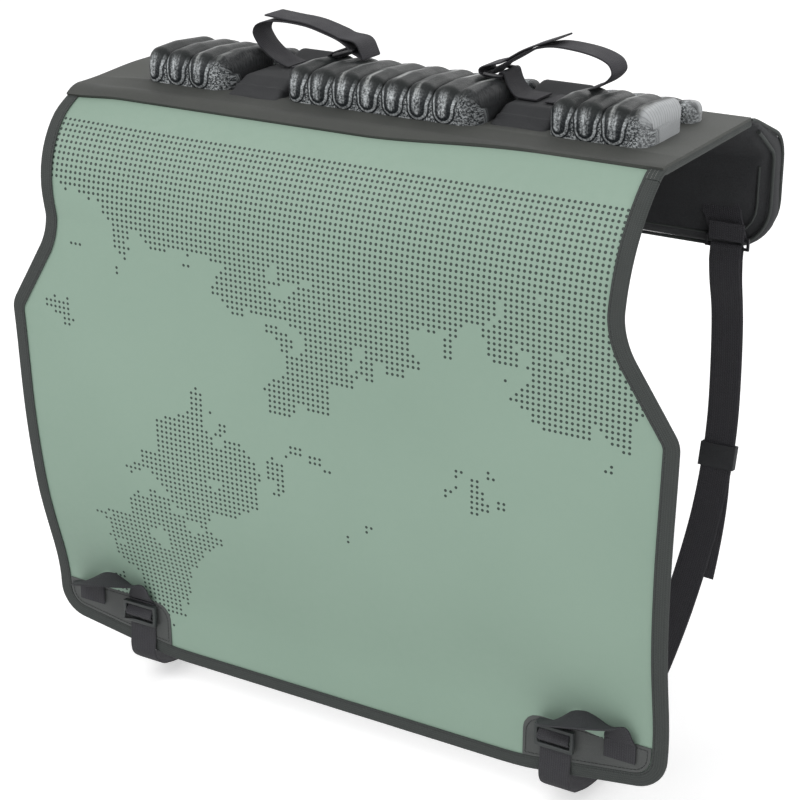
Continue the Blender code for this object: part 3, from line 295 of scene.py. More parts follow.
# %% Lines and arcs
class Line:
    """A run of points that is read by its own length."""

    def __init__(self, points):
        self.points = points
        self.marks = [0.0]
        for before, after in zip(points, points[1:]):
            self.marks.append(self.marks[-1] + (after - before).length)
        self.length = self.marks[-1]

    def at(self, distance):
        index = 0
        while index < len(self.marks) - 2 and self.marks[index + 1] < distance:
            index += 1
        share = (distance - self.marks[index]) / (self.marks[index + 1] - self.marks[index])
        return self.points[index].lerp(self.points[index + 1], share)

    def direction(self, distance, reach=0.003):
        ahead = self.at(min(distance + reach, self.length))
        behind = self.at(max(distance - reach, 0.0))
        return (ahead - behind).normalized()


def arc(centre, radius, start, end, steps):
    """Points on a circle, from one angle to another."""
    points = []
    for index in range(steps + 1):
        angle = start + (end - start) * index / steps
        points.append(Vector((centre[0] + radius * math.cos(angle), centre[1] + radius * math.sin(angle))))
    return points


def rounded_outline(corners, steps):
    """Points of an outline whose corners, given as (x, y, radius), are rounded."""
    points = [Vector(corners[0][:2])]
    for before, corner, after in zip(corners, corners[1:], corners[2:]):
        at = Vector(corner[:2])
        back = (Vector(before[:2]) - at).normalized()
        ahead = (Vector(after[:2]) - at).normalized()
        half_angle = back.angle(ahead) / 2
        reach = corner[2] / math.tan(half_angle)
        middle = at + (back + ahead).normalized() * (corner[2] / math.sin(half_angle))
        first = at + back * reach - middle
        last = at + ahead * reach - middle
        turn = first.angle_signed(last)
        for index in range(steps + 1):
            points.append(middle + Matrix.Rotation(-turn * index / steps, 2) @ first)
    points.append(Vector(corners[-1][:2]))
    return points


def smooth_curve(points, steps):
    """A smooth curve through points."""
    ends = [points[0] * 2 - points[1]] + list(points) + [points[-1] * 2 - points[-2]]
    curve = []
    for a, b, c, d in zip(ends, ends[1:], ends[2:], ends[3:]):
        for index in range(steps):
            t = index / steps
            curve.append(0.5 * (2 * b + (c - a) * t + (2 * a - 5 * b + 4 * c - d) * t * t
                                + (3 * b - 3 * c + d - a) * t ** 3))
    curve.append(points[-1].copy())
    return curve


quarter = Line(arc((0, 0), 1.0, 0.0, math.pi / 2, 24))
print("a quarter of a circle of 1 m is", round(quarter.length, 3), "m long")

# %% [markdown]
# ## The pad's side view
# Seen from the side, the pad is one long line: the flat top, a bend down to the seam, the printed
# sheet that swings back a little at its foot, and the flap on the other side. A traced line of
# points would hide its rule, so it is built from arcs of known radius. All sizes are in metres.


# %% The pad's own lines
GAP = 0.0003
EDGE_INSET = 0.0012
TOP_HALF_WIDTH = 0.289
TOP_THICKNESS = 0.006
TOP_PINCH = 0.0015
TOP_FRONT = -0.088
TOP_BACK = 0.084
BEND_RADIUS = 0.025
SEAM_ANGLE = math.pi / 2 + math.radians(42)
SHOULDER_RADIUS = 0.135
PANEL_DROP = 0.560
FOOT_SET_BACK = 0.034
HANGING_SET_BACK = ((0.0, 0.0), (0.25, 0.004), (0.46, 0.006), (0.64, 0.014), (0.80, 0.030),
                    (0.86, FOOT_SET_BACK))
FLAP_BACK = 0.1745
FLAP_BOTTOM = -0.1325
FLAP_SLOPE = math.radians(21)
FLAP_BEND_RADIUS = 0.050
FLAP_KNEE_RADIUS = 0.034
SIDES = {"left": -1, "right": 1}


def bend_line():
    """From the front end of the flat top to the seam, as (y, z)."""
    return Line(arc((TOP_FRONT, TOP_THICKNESS - BEND_RADIUS), BEND_RADIUS, math.pi / 2, SEAM_ANGLE, 10))


def panel_line():
    """From the seam down to the printed sheet's lower edge."""
    seam = bend_line().points[-1]
    centre = seam - SHOULDER_RADIUS * Vector((math.cos(SEAM_ANGLE), math.sin(SEAM_ANGLE)))
    points = arc(centre, SHOULDER_RADIUS, SEAM_ANGLE, math.pi, 24)
    hanging = PANEL_DROP - SHOULDER_RADIUS * (math.pi - SEAM_ANGLE)
    low = points[-1]
    route = [Vector((low.x + back, low.y - hanging * share)) for share, back in HANGING_SET_BACK]
    points += smooth_curve(route, 10)[1:]
    points.append(Vector((low.x + FOOT_SET_BACK, low.y - hanging)))
    return Line(points)


def flap_line():
    """From the top's back edge down to the flap's lower edge."""
    falling = math.pi / 2 - FLAP_SLOPE
    points = arc((TOP_BACK, TOP_THICKNESS - FLAP_BEND_RADIUS), FLAP_BEND_RADIUS, math.pi / 2, falling, 10)
    knee_y = FLAP_BACK - FLAP_KNEE_RADIUS * (1 - math.sin(FLAP_SLOPE))
    run = (knee_y - points[-1].x) / math.cos(FLAP_SLOPE)
    knee = points[-1] + run * Vector((math.cos(FLAP_SLOPE), -math.sin(FLAP_SLOPE)))
    centre = Vector((FLAP_BACK - FLAP_KNEE_RADIUS, knee.y - FLAP_KNEE_RADIUS * math.cos(FLAP_SLOPE)))
    points += arc(centre, FLAP_KNEE_RADIUS, falling, 0.0, 12)
    points.append(Vector((FLAP_BACK, FLAP_BOTTOM + EDGE_INSET)))
    return Line(points)


PANEL = panel_line()
BEND = bend_line()
FLAP = flap_line()
print("the sheet is", round(PANEL.length, 4), "long and the flap", round(FLAP.length, 4))

# %% [markdown]
# ## The printed sheet's edge
# From the front the sheet is a shield: level with the top's ends at the seam, a little narrower at
# its waist, widest at its hips, and with large rounded lower corners. Half of its edge is written
# as corners with radii, as a pattern maker would, and the other half is its mirror image.


# %% The sheet's outline
WAIST_HALF_WIDTH, WAIST_AT, WAIST_RADIUS = 0.2835, 0.128, 0.070
HIP_HALF_WIDTH, HIP_AT, HIP_RADIUS = 0.3345, 0.207, 0.024
BOTTOM_HALF_WIDTH, CORNER_RADIUS = 0.3255, 0.032
BOTTOM_RISE, RISE_FROM_SIDE, RISE_RADIUS = 0.0202, 0.1355, 0.250


def panel_outline(inset=EDGE_INSET):
    """Half of the printed sheet's edge, as (half width, distance below the seam)."""
    bottom = PANEL_DROP - inset
    rise = BOTTOM_RISE * (1 - inset / RISE_FROM_SIDE)
    return rounded_outline([
        (TOP_HALF_WIDTH - inset, 0.0),
        (WAIST_HALF_WIDTH - inset, WAIST_AT, WAIST_RADIUS),
        (HIP_HALF_WIDTH - inset, HIP_AT, HIP_RADIUS),
        (BOTTOM_HALF_WIDTH - inset, bottom - rise, CORNER_RADIUS - inset),
        (BOTTOM_HALF_WIDTH - RISE_FROM_SIDE, bottom, RISE_RADIUS),
        (0.0, bottom),
    ], steps=12)


def width_at(outline, distance):
    """Half width of an outline at a distance along it."""
    if distance <= 0.0:
        return outline[0].x
    for before, after in zip(outline, outline[1:]):
        if before.y <= distance <= after.y and after.y > before.y:
            share = (distance - before.y) / (after.y - before.y)
            return before.x + (after.x - before.x) * share
    return outline[-2].x


OUTLINE = panel_outline()
print("the sheet is", round(2 * max(point.x for point in OUTLINE), 4), "wide")

# %% [markdown]
# ## Soft changes to the lines
# No sewn pad is exact. The stiff sheet stands off at one shoulder, the top's free corner droops and
# the seam wanders up the bend. One function below adds all of this, and every layer asks it for its
# place, so the layers stay together. Moving each layer by hand would let them cut into each other.


# %% Places on the pad
BACK_SEAM = Vector((TOP_BACK - GAP, TOP_THICKNESS))
WHOLE = Line([BACK_SEAM] + BEND.points + PANEL.points[1:])
SEAM_AT = WHOLE.length - PANEL.length
SHOULDER_LIFT = 0.0080
CORNER_DROOP = 0.0036
SEAM_RISE = 0.0110


def smooth_step(value, low, high):
    """A smooth step from 0 at low to 1 at high."""
    share = min(max((value - low) / (high - low), 0.0), 1.0)
    return share * share * (3 - 2 * share)


def panel_frame(distance):
    """A point on the outer face and its outward direction, both as (y, z), counted from the seam."""
    along = WHOLE.direction(SEAM_AT + distance)
    return WHOLE.at(SEAM_AT + distance), Vector((along.y, -along.x))


def shoulder_swell(x, distance):
    """The stiff sheet stands off a little more where it bends down at its left shoulder."""
    rise = math.sin(math.pi * min(max(distance / 0.115, 0.0), 1.0))
    return SHOULDER_LIFT * smooth_step(-x, 0.150, 0.287) * rise


def end_droop(x, y):
    """The unsupported front corner of the top hangs a little at its left end."""
    return -CORNER_DROOP * smooth_step(-x, 0.225, 0.288) * smooth_step(-y, 0.0, 0.080)


def on_panel(x, distance, lift):
    """A place on the top or the sheet, lifted off its outer face."""
    at, normal = panel_frame(distance)
    spot = at + normal * (lift + shoulder_swell(x, distance))
    droop = end_droop(x, spot.x) * smooth_step(-distance, -0.03, 0.005)
    return Vector((x, spot.x, spot.y + droop))


def seam_shift(x):
    """The seam isn't straight: towards the right end it lies further up the bend."""
    return -SEAM_RISE * smooth_step(x, 0.020, 0.190)


print("the top and the sheet together are", round(WHOLE.length, 4), "long")

# %% [markdown]
# ## Working on one piece
# Blender's mesh tools work on what is selected and in edit mode. By hand that is a click and the Tab
# key. In a script the same steps come back for every piece, so they are written once here.


# %% Selecting, editing and modifiers
def only(piece):
    """Select one piece alone."""
    bpy.ops.object.select_all(action="DESELECT")
    piece.select_set(True)
    bpy.context.view_layer.objects.active = piece


@contextmanager
def edit_mode(piece):
    """Edit mode on one piece, with everything selected."""
    only(piece)
    bpy.ops.object.mode_set(mode="EDIT")
    bpy.ops.mesh.select_all(action="SELECT")
    yield
    bpy.ops.object.mode_set(mode="OBJECT")


def apply_modifier(piece, kind, **settings):
    only(piece)
    added = piece.modifiers.new(kind.lower(), kind)
    for name, value in settings.items():
        setattr(added, name, value)
    bpy.ops.object.modifier_apply(modifier=added.name)


print("piece tools:", only.__name__, edit_mode.__name__, apply_modifier.__name__)

# %% [markdown]
# ## Sheets from a grid
# Cloth, tape and webbing are flat before they are sewn. Each one starts as Blender's grid, whose
# points are then moved to their real places, while a UV map named Flat keeps each point's place on
# the flat cut, in metres. A pattern that reads this map follows the cloth round every bend.


# %% A grid moved into shape
def shaped_grid(name, columns, rows, place, flat, more_maps=None):
    """A grid whose point (column, row) is moved to place(column, row), with a Flat UV map."""
    bpy.ops.object.select_all(action="DESELECT")
    bpy.ops.mesh.primitive_grid_add(x_subdivisions=columns - 1, y_subdivisions=rows - 1, size=1.0)
    piece = bpy.context.active_object
    piece.name = name
    mesh = piece.data
    cells = []
    for vert in mesh.vertices:
        cells.append((round((vert.co.x + 0.5) * (columns - 1)), round((0.5 - vert.co.y) * (rows - 1))))
    for vert, cell in zip(mesh.vertices, cells):
        vert.co = place(*cell)
    mesh.uv_layers[0].name = "Flat"
    for map_name, rule in {"Flat": flat, **(more_maps or {})}.items():
        if map_name not in mesh.uv_layers:
            mesh.uv_layers.new(name=map_name)
        values = [rule(*cell) for cell in cells]
        layer = mesh.uv_layers[map_name].data
        for loop in mesh.loops:
            layer[loop.index].uv = values[loop.vertex_index]
    return piece


def close_shell(piece, threshold=0.00002):
    """Merge a swept shape's doubled points and cap its open ends."""
    with edit_mode(piece):
        bpy.ops.mesh.remove_doubles(threshold=threshold)
        bpy.ops.mesh.select_all(action="DESELECT")
        bpy.ops.mesh.select_non_manifold()
        bpy.ops.mesh.fill_holes(sides=0)


print("shape tools:", shaped_grid.__name__, close_shell.__name__)

# %% [markdown]
# ## Finishing a piece
# Every finished piece gets its material and smooth shading with sharp creases kept, and the CAD solids that it
# stands for are hidden. A hard CAD solid can be carried over as it is, but its edges are then sharper than any
# moulded or cut edge, so a copy is welded and bevelled.


# %% Finishing and copying
def finish_piece(piece, material, slot, *nodes, sharp_angle=40):
    """Shading, material, the record's slot (not used), the body that it rides on and the nodes it stands for.
    """
    with edit_mode(piece):
        bpy.ops.mesh.normals_make_consistent(inside=False)
    bpy.ops.object.shade_smooth_by_angle(angle=math.radians(sharp_angle))
    piece.data.materials.clear()
    piece.data.materials.append(material)
    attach(piece, "root")
    if nodes:
        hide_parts(*nodes)
    print(piece.name, "has", len(piece.data.polygons), "faces")
    return piece


def merged_copy(node, name):
    """A copy of a CAD node with its doubled points merged."""
    piece = placed(name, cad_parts[node].data.copy())
    only(piece)
    bpy.ops.mesh.customdata_custom_splitnormals_clear()
    with edit_mode(piece):
        bpy.ops.mesh.remove_doubles(threshold=0.00001)
    return piece


def welded_copy(node, name, bevel=0.0005):
    """A merged copy without needless edges and with softly bevelled ones."""
    piece = merged_copy(node, name)
    with edit_mode(piece):
        bpy.ops.mesh.dissolve_limited(angle_limit=math.radians(1))
    if bevel:
        apply_modifier(piece, "BEVEL", width=bevel, segments=2, limit_method="ANGLE",
                       angle_limit=math.radians(40))
    return piece


print("finishing tools:", finish_piece.__name__, merged_copy.__name__, welded_copy.__name__)

# %% [markdown]
# ## The printed sheet's finish
# The real sheet is coated tarpaulin, sage green, printed with small dark dots on a square grid. An
# image could hold the print, but its dots would blur close up. Here each dot asks the pattern at
# its own centre, so dots come whole or not at all, and stay sharp. The pattern is a loose set of
# drifting patches, and the middle of the lower edge is bare.


# %% Printed tarpaulin
DOT_PITCH = 0.005
DOT_EDGES = (0.00120, 0.00150)
PRINT_TOP, PRINT_BOTTOM = 0.026, 0.525
BARE_PLACE, BARE_REACH = (-0.03, 0.50), (0.135, 0.115)


def dot_pattern(finish, x, y):
    """1 where a dot whose centre is at (x, y) is printed, and 0 elsewhere."""
    centre = finish.vector(x, y)
    drift = finish.noise(centre, 8.0, 3.0, 0.6)
    fray = finish.noise(centre, 42.0, 1.0)
    bank = (x * 7.0 + 0.9).math("SINE") * 0.075 + 0.25
    upper = (bank - y) / 0.16
    tail = (0.16 - (x * 0.92 + y * 0.55 - 0.10).math("ABSOLUTE")) / 0.2
    field = upper.math("MAXIMUM", tail) + (drift - 0.5) * 4.4 + (fray - 0.5) * 1.1
    out_x = (x - BARE_PLACE[0]) / BARE_REACH[0]
    out_y = (y - BARE_PLACE[1]) / BARE_REACH[1]
    clear = (out_x * out_x + out_y * out_y).math("GREATER_THAN", 1.0)
    inside = y.math("GREATER_THAN", PRINT_TOP) * y.math("LESS_THAN", PRINT_BOTTOM)
    return field.math("GREATER_THAN", 0.66) * inside * clear


def printed_tarpaulin():
    finish = Finish("printed_tarpaulin")
    flat = finish.flat()
    across = flat.part(0) / DOT_PITCH
    down = flat.part(1) / DOT_PITCH
    column, row = across.math("FLOOR"), down.math("FLOOR")
    off_x = across - column - 0.5
    off_y = down - row - 0.5
    from_centre = (off_x * off_x + off_y * off_y).math("SQRT") * DOT_PITCH
    ink = from_centre.ramp(*DOT_EDGES, 1.0, 0.0)
    dots = ink * dot_pattern(finish, (column + 0.5) * DOT_PITCH, (row + 0.5) * DOT_PITCH)
    soft = finish.noise(finish.place(), 5.0, 2.0)
    base = finish.blend(soft, colour(139, 163, 147), colour(150, 174, 158))
    finish.put("Base Color", finish.blend(dots, base, colour(45, 59, 53)))
    finish.put("Roughness", finish.noise(flat, 120.0).ramp(0.3, 0.7, 0.52, 0.62))
    weave = (flat.part(0) * 5200.0).math("SINE") * (flat.part(1) * 5200.0).math("SINE")
    finish.relief(weave * 0.3 + finish.noise(flat, 900.0) + dots * 0.4, 0.00006)
    return finish.material


tarpaulin = printed_tarpaulin()
print("made", tarpaulin.name)

# %% [markdown]
# ## Woven cloths
# The top, the flap, the lining and the patches are plain woven cloth, each of its own grey. Real
# threads are far too small to model. Two crossing sine waves in the relief stand for warp and weft,
# and broad and fine noise makes the grey uneven, as dust and wear do.


# %% Plain cloths
def plain_cloth(name, dark, light, thread=1100.0, roughness=0.85, relief=0.00012, band=1.0):
    """Closely woven cloth whose threads cross at right angles. The band by the seam may be darker."""
    finish = Finish(name)
    at = finish.place()
    x, y, z = at.part(0), at.part(1), at.part(2)
    warp = ((x + y * 0.35) * thread * 2 * math.pi / 2.2).math("SINE")
    weft = ((z + y * 0.8) * thread * 2 * math.pi / 2.2).math("SINE")
    patches = finish.noise(at, 26.0, 3.0)
    specks = finish.noise(at, 1500.0, 1.0)
    shade = patches * 0.55 + specks * 0.45
    tone = finish.blend(shade.ramp(0.3, 0.72), dark, light)
    if band < 1.0:
        deep = [value * band for value in dark[:3]] + [1.0]
        deep_light = [value * band for value in light[:3]] + [1.0]
        by_seam = (y + patches * 0.002).ramp(-0.063, -0.060, 1.0, 0.0)
        tone = finish.blend(by_seam, tone, finish.blend(shade.ramp(0.3, 0.72), deep, deep_light))
    finish.put("Base Color", tone)
    finish.put("Roughness", patches.ramp(0.3, 0.7, roughness - 0.06, roughness + 0.05))
    finish.relief(warp * weft * 0.35 + specks, relief)
    return finish.material


top_cloth = plain_cloth("charcoal_cloth", colour(62, 64, 61), colour(80, 82, 78), roughness=0.72, band=0.80)
flap_cloth = plain_cloth("flap_cloth", colour(42, 43, 45), colour(60, 61, 63))
lining_cloth = plain_cloth("soft_lining", colour(34, 34, 37), colour(52, 52, 56), thread=700.0, relief=0.0002)
patch_cloth = plain_cloth("patch_cloth", colour(66, 68, 68), colour(86, 88, 87), roughness=0.6)
print("cloths:", top_cloth.name, flap_cloth.name, lining_cloth.name, patch_cloth.name)

# %% [markdown]
# ## Webbing and tape
# Webbing is woven with heavy threads that show as narrow ribs and a fine herringbone. Both are read
# from the Flat map, so they run along each strap even where it folds. Modelled threads would need
# millions of faces for the same picture.


# %% Webbing and tape finishes
def webbing_cloth(name, dark, light):
    """Webbing: narrow ribs run along it and a fine herringbone crosses them."""
    finish = Finish(name)
    flat = finish.flat()
    across, along = flat.part(0), flat.part(1)
    slant = (across * 900.0).math("SINE") * 0.0012
    herringbone = ((along + slant) * 2 * math.pi / 0.0016).math("SINE")
    ribs = (across * 2 * math.pi / 0.0021).math("SINE")
    wear = finish.noise(finish.place(), 60.0, 3.0)
    specks = finish.noise(flat, 1700.0, 1.0)
    shade = herringbone * 0.22 + ribs * 0.12 + specks * 0.5 + wear * 0.35
    finish.put("Base Color", finish.blend(shade.ramp(0.05, 0.85), dark, light))
    finish.put("Roughness", wear.ramp(0.3, 0.7, 0.72, 0.86))
    finish.relief(herringbone * 0.4 + ribs * 0.35 + specks * 0.5, 0.00022)
    return finish.material


tape_cloth = webbing_cloth("woven_tape", colour(47, 51, 50), colour(70, 74, 72))
strap_cloth = webbing_cloth("black_webbing", colour(35, 35, 38), colour(66, 65, 70))
print("webbing:", tape_cloth.name, strap_cloth.name)

# %% [markdown]
# ## Hanging the printed sheet
# The sheet bends over the tailgate's shoulder, hangs nearly straight and swings back a little lower
# down. Between its bound edges it carries faint, wide waves, as a coated cloth does after it was
# folded for storage. A simulation would let it sag anywhere; here it is laid on the known line and
# two sine waves that die out at the edges give the unevenness.


# %% Printed sheet and its lining
SHEET_THICKNESS = 0.0012
BACKING_THICKNESS = 0.0015
SEAM_BLEND = 0.06
BACKING_SHARE = 0.96
BOUND_EDGE = 0.014
WAVE_LIFT = 0.0011
WAVE_HEIGHT = 0.00065


def sheet_rows(spacing=0.006):
    """Distances below the seam, closer together round the lower corners."""
    bends = [point.y for point in OUTLINE[1:]]
    count = round(bends[-1] / spacing)
    rows = {GAP, bends[-1]} | set(bends)
    for index in range(1, count):
        row = bends[-1] * index / count
        if all(abs(bend - row) > spacing * 0.3 for bend in bends):
            rows.add(row)
    return sorted(rows)


def sheet_wave(x, distance, half_width):
    """Faint waves that die out at the sheet's edges."""
    to_edge = min(half_width - abs(x), PANEL_DROP - distance, distance + 0.01)
    wide = math.sin(11.0 * x + 6.0 * distance + 0.7) + 0.7 * math.sin(-17.0 * x + 13.0 * distance)
    return (WAVE_LIFT + WAVE_HEIGHT * wide) * smooth_step(to_edge, BOUND_EDGE, BOUND_EDGE + 0.06)


def hung_sheet(name, near, thickness, first, shifted):
    """A sheet that hangs from the seam, whose first row may lie above it."""
    rows = sorted(set(first) | set(sheet_rows()))
    columns = 121

    def spot_of(column, row):
        across = 2 * column / (columns - 1) - 1
        distance = rows[row]
        x = across * width_at(OUTLINE, distance)
        if shifted:
            distance += seam_shift(x) * max(1.0 - distance / SEAM_BLEND, 0.0)
        return x, distance

    def place(column, row):
        x, distance = spot_of(column, row)
        lift = sheet_wave(x, distance, width_at(OUTLINE, distance)) if shifted else 0.0
        return on_panel(x, distance, lift - near)

    piece = shaped_grid(name, columns, len(rows), place, spot_of)
    apply_modifier(piece, "SOLIDIFY", thickness=thickness, offset=-1.0)
    return piece


printed_sheet = hung_sheet("printed_sheet", 0.0, SHEET_THICKNESS, (), True)
finish_piece(printed_sheet, tarpaulin, "green_tarpaulin", "front_panel")
above_seam = [-BEND.length * share for share in (BACKING_SHARE, 0.7, 0.45, 0.2)]
backing = hung_sheet("backing_cloth", SHEET_THICKNESS + GAP, BACKING_THICKNESS, above_seam, False)
finish_piece(backing, lining_cloth, "lining_fabric", "front_lining")

# %% [markdown]
# ## Stitches
# Thread lies on the tapes and patches in even rows. A bump texture could hint at it, but close up
# the thread has to catch the light. So one stitch is modelled as a tiny rounded bar, copied along
# each seam and joined in one piece. Every copy sits half sunk in the cloth.


# %% One stitch and its rows
STITCH_LENGTH = 0.0030
STITCH_WIDTH = 0.0006
PLAIN_PITCH = 0.0042
FINE_PITCH = 0.0036


def one_stitch():
    bpy.ops.object.select_all(action="DESELECT")
    bpy.ops.mesh.primitive_cube_add(size=1.0, scale=(STITCH_LENGTH, STITCH_WIDTH, STITCH_WIDTH * 0.8))
    stitch = bpy.context.active_object
    bpy.ops.object.transform_apply(scale=True)
    with edit_mode(stitch):
        bpy.ops.mesh.bevel(offset=STITCH_WIDTH * 0.35, segments=1, affect="EDGES")
    return stitch


def stitched(name, rows, material, slot, pitch=PLAIN_PITCH):
    """Stitches along rows of (point, outward direction), joined in one piece."""
    stitch = one_stitch()
    corners = np.array([vert.co for vert in stitch.data.vertices])
    faces = [tuple(face.vertices) for face in stitch.data.polygons]
    bpy.data.objects.remove(stitch)
    points, polygons = [], []
    for row in rows:
        line = Line([Vector(point) for point, outward in row])
        count = int(line.length / pitch)
        for index in range(count):
            distance = (index + 0.5) * line.length / count
            at = line.at(distance)
            along = line.direction(distance)
            nearest = min(row, key=lambda entry: (Vector(entry[0]) - at).length)
            outward = Vector(nearest[1])
            side = outward.cross(along).normalized()
            up = along.cross(side).normalized()
            turn = np.array([along, side, up])
            start = len(points)
            points.extend(corners @ turn + np.array(at))
            polygons.extend([tuple(start + corner for corner in face) for face in faces])
    mesh = bpy.data.meshes.new(name)
    mesh.from_pydata([tuple(point) for point in points], [], polygons)
    return finish_piece(placed(name, mesh), material, slot, sharp_angle=60)


def thread_finish(name, dark, light):
    finish = Finish(name)
    at = finish.place()
    twist = ((at.part(0) + at.part(1) + at.part(2)) * 9000.0).math("SINE")
    shade = finish.noise(at, 300.0) * 0.8 + twist * 0.15
    finish.put("Base Color", finish.blend(shade.ramp(0.2, 0.7), dark, light))
    finish.put("Roughness", shade.ramp(0.2, 0.8, 0.55, 0.75))
    finish.relief(twist, 0.00008)
    return finish.material


dark_thread = thread_finish("dark_thread", colour(28, 29, 30), colour(58, 60, 60))
pale_thread = thread_finish("pale_thread", colour(92, 94, 92), colour(150, 152, 148))
print("threads:", dark_thread.name, pale_thread.name)

# %% [markdown]
# ## Folded tapes
# A folded tape wraps each cut edge: in section it is a narrow U that grips the layers. A curve with
# a bevel profile would twist round the corners. So the section is swept from station to station,
# each with its own outward direction, and then given the tape's thickness.


# %% Tape round an edge
TAPE_LIP = 0.0123
TAPE_WALL = 0.0009
TAPE_RIPPLE = 0.00012


def station_frames(stations):
    """Stations hold a point on the cut edge, the outward normal and half of the stack's thickness."""
    last = len(stations) - 1
    frames = []
    for index, (at, normal, half) in enumerate(stations):
        along = (stations[min(index + 1, last)][0] - stations[max(index - 1, 0)][0]).normalized()
        inward = normal.cross(along).normalized()
        frames.append((at, inward, along.cross(inward).normalized(), half))
    return frames


def folded_tape(name, stations):
    turns = 9
    flats = 5
    count = 2 * flats + turns
    marks = Line([at for at, normal, half in stations]).marks
    frames = station_frames(stations)

    def section(step, half):
        """Place in the tape's section: how far inward, and how far outward from the stack's middle."""
        radius = half + GAP + TAPE_WALL / 2
        squash = min(radius, 0.0024)
        centre = squash - GAP - TAPE_WALL / 2
        if step < flats:
            return TAPE_LIP - (TAPE_LIP - centre) * step / flats, -radius
        if step >= flats + turns:
            return centre + (TAPE_LIP - centre) * (step - flats - turns + 1) / flats, radius
        angle = -math.pi / 2 - math.pi * (step - flats) / (turns - 1)
        return centre + squash * math.cos(angle), radius * math.sin(angle)

    def place(column, row):
        at, inward, normal, half = frames[row]
        i, n = section(column, half)
        wave = TAPE_RIPPLE * math.sin(marks[row] * 190.0) * math.sin(marks[row] * 47.0 + 1.0)
        return at + inward * i + normal * (n + math.copysign(abs(wave), n))

    def flat(column, row):
        i, n = section(column, frames[row][3])
        return (i if n > 0 else -i - 0.004), marks[row]

    piece = shaped_grid(name, count, len(stations), place, flat)
    apply_modifier(piece, "SOLIDIFY", thickness=TAPE_WALL, offset=0.0)
    return piece


def tape_stitch_row(stations, inset):
    """A row of stitches on the tape's outer side, at a distance from the cut edge."""
    row = []
    for at, inward, outward, half in station_frames(stations):
        row.append((at + inward * inset + outward * (half + GAP + TAPE_WALL), outward))
    return row


print("a tape is", 2 * TAPE_LIP, "wide when unfolded")

# %% [markdown]
# ## The tape round the printed sheet
# One tape runs down one side of the sheet, along its lower edge and up the other side, and is sewn
# with one row of dark thread. The real one is sewn on flat and folded over. Here its stations are
# read from the sheet's own outline, so it can't come loose from the sheet.


# %% Front edge tape
FRONT_STACK = 0.0030
FRONT_TAPE_START = 0.0004
FRONT_SEAM_INSET = 0.0104


def mirrored_path(points):
    left = [Vector((-point.x, point.y)) for point in points[:-1]]
    right = [Vector((point.x, point.y)) for point in reversed(points[:-1])]
    return left + right


def panel_station(x, distance):
    """A station on the cut edge of the two front layers."""
    normal = panel_frame(distance)[1]
    spot = on_panel(x, distance, -FRONT_STACK / 2)
    return spot, Vector((0, normal.x, normal.y)), FRONT_STACK / 2


def front_edge_stations():
    rows = [row for row in sheet_rows(0.008) if row < OUTLINE[-1].y - GAP]
    side = [Vector((width_at(OUTLINE, row), row)) for row in rows]
    side[0].y = FRONT_TAPE_START
    side.append(OUTLINE[-2])
    for index in range(1, 16):
        side.append(Vector((OUTLINE[-2].x * (1 - index / 16), OUTLINE[-1].y)))
    side.append(OUTLINE[-1])
    return [panel_station(point.x, point.y) for point in mirrored_path(side)]


front_edge = front_edge_stations()
front_tape = folded_tape("front_edge_tape", front_edge)
finish_piece(front_tape, tape_cloth, "binding_tape", "front_binding")
front_row = tape_stitch_row(front_edge, FRONT_SEAM_INSET)
front_seam = stitched("front_edge_stitches", [front_row], dark_thread, "binding_tape")

# %% [markdown]
# ## The top
# The charcoal top lies flat on the tailgate and bends down at the front to meet the printed sheet.
# It is a thin padded layer and nearly flat, where a simulation with inner pressure would round it
# like a cushion. So its crease, its fall towards the seam and the pucker are small formulas.


# %% Top cover
COVER_THICKNESS = 0.0030
CREASE_Y = -0.063
CREASE_HEIGHT = 0.0007
SEAM_FALL = 0.0022
PUCKER_HEIGHT = 0.0003


def top_cover():
    columns, rows = 141, 64
    half_width = TOP_HALF_WIDTH - EDGE_INSET

    def spot_of(column, row):
        x = (2 * column / (columns - 1) - 1) * half_width
        above = SEAM_AT * (row / (rows - 1)) ** 1.25
        return x, above - seam_shift(x) * max(1.0 - above / SEAM_BLEND, 0.0)

    def place(column, row):
        x, above = spot_of(column, row)
        at = WHOLE.at(SEAM_AT - above)
        calm = min(max((half_width - abs(x) - 0.013) / 0.03, 0.0), 1.0)
        calm *= min(above / 0.02, 1.0) * min((SEAM_AT - above) / 0.02, 1.0)
        crease = CREASE_HEIGHT * math.exp(-((at.x - CREASE_Y) / 0.003) ** 2)
        fall = -SEAM_FALL * smooth_step(-at.x, 0.060, 0.088) * smooth_step(above, 0.004, 0.018)
        gathers = math.sin(x * 95.0 + 2.0 * math.sin(x * 21.0))
        pucker = PUCKER_HEIGHT * gathers * math.exp(-above / 0.02)
        return on_panel(x, -above, 0.00015 + (crease + fall + pucker) * calm)

    piece = shaped_grid("top_cover_cloth", columns, rows, place, spot_of)
    apply_modifier(piece, "SOLIDIFY", thickness=COVER_THICKNESS, offset=-1.0)
    return piece


top_piece = finish_piece(top_cover(), top_cloth, "black_fabric", "top_cover", "top_padding")

# %% [markdown]
# ## The top's ends and lining
# A tape binds each end of the top and runs on over the bend to the seam. It is sewn with three rows
# of pale thread, which the light picks out. The lining beneath rests on the tailgate. It hardly
# shows, so the CAD solid is kept and only follows the droop of the top's corner.


# %% End tapes and lining
END_SEAM_INSETS = (0.0035, 0.0062, 0.0096)


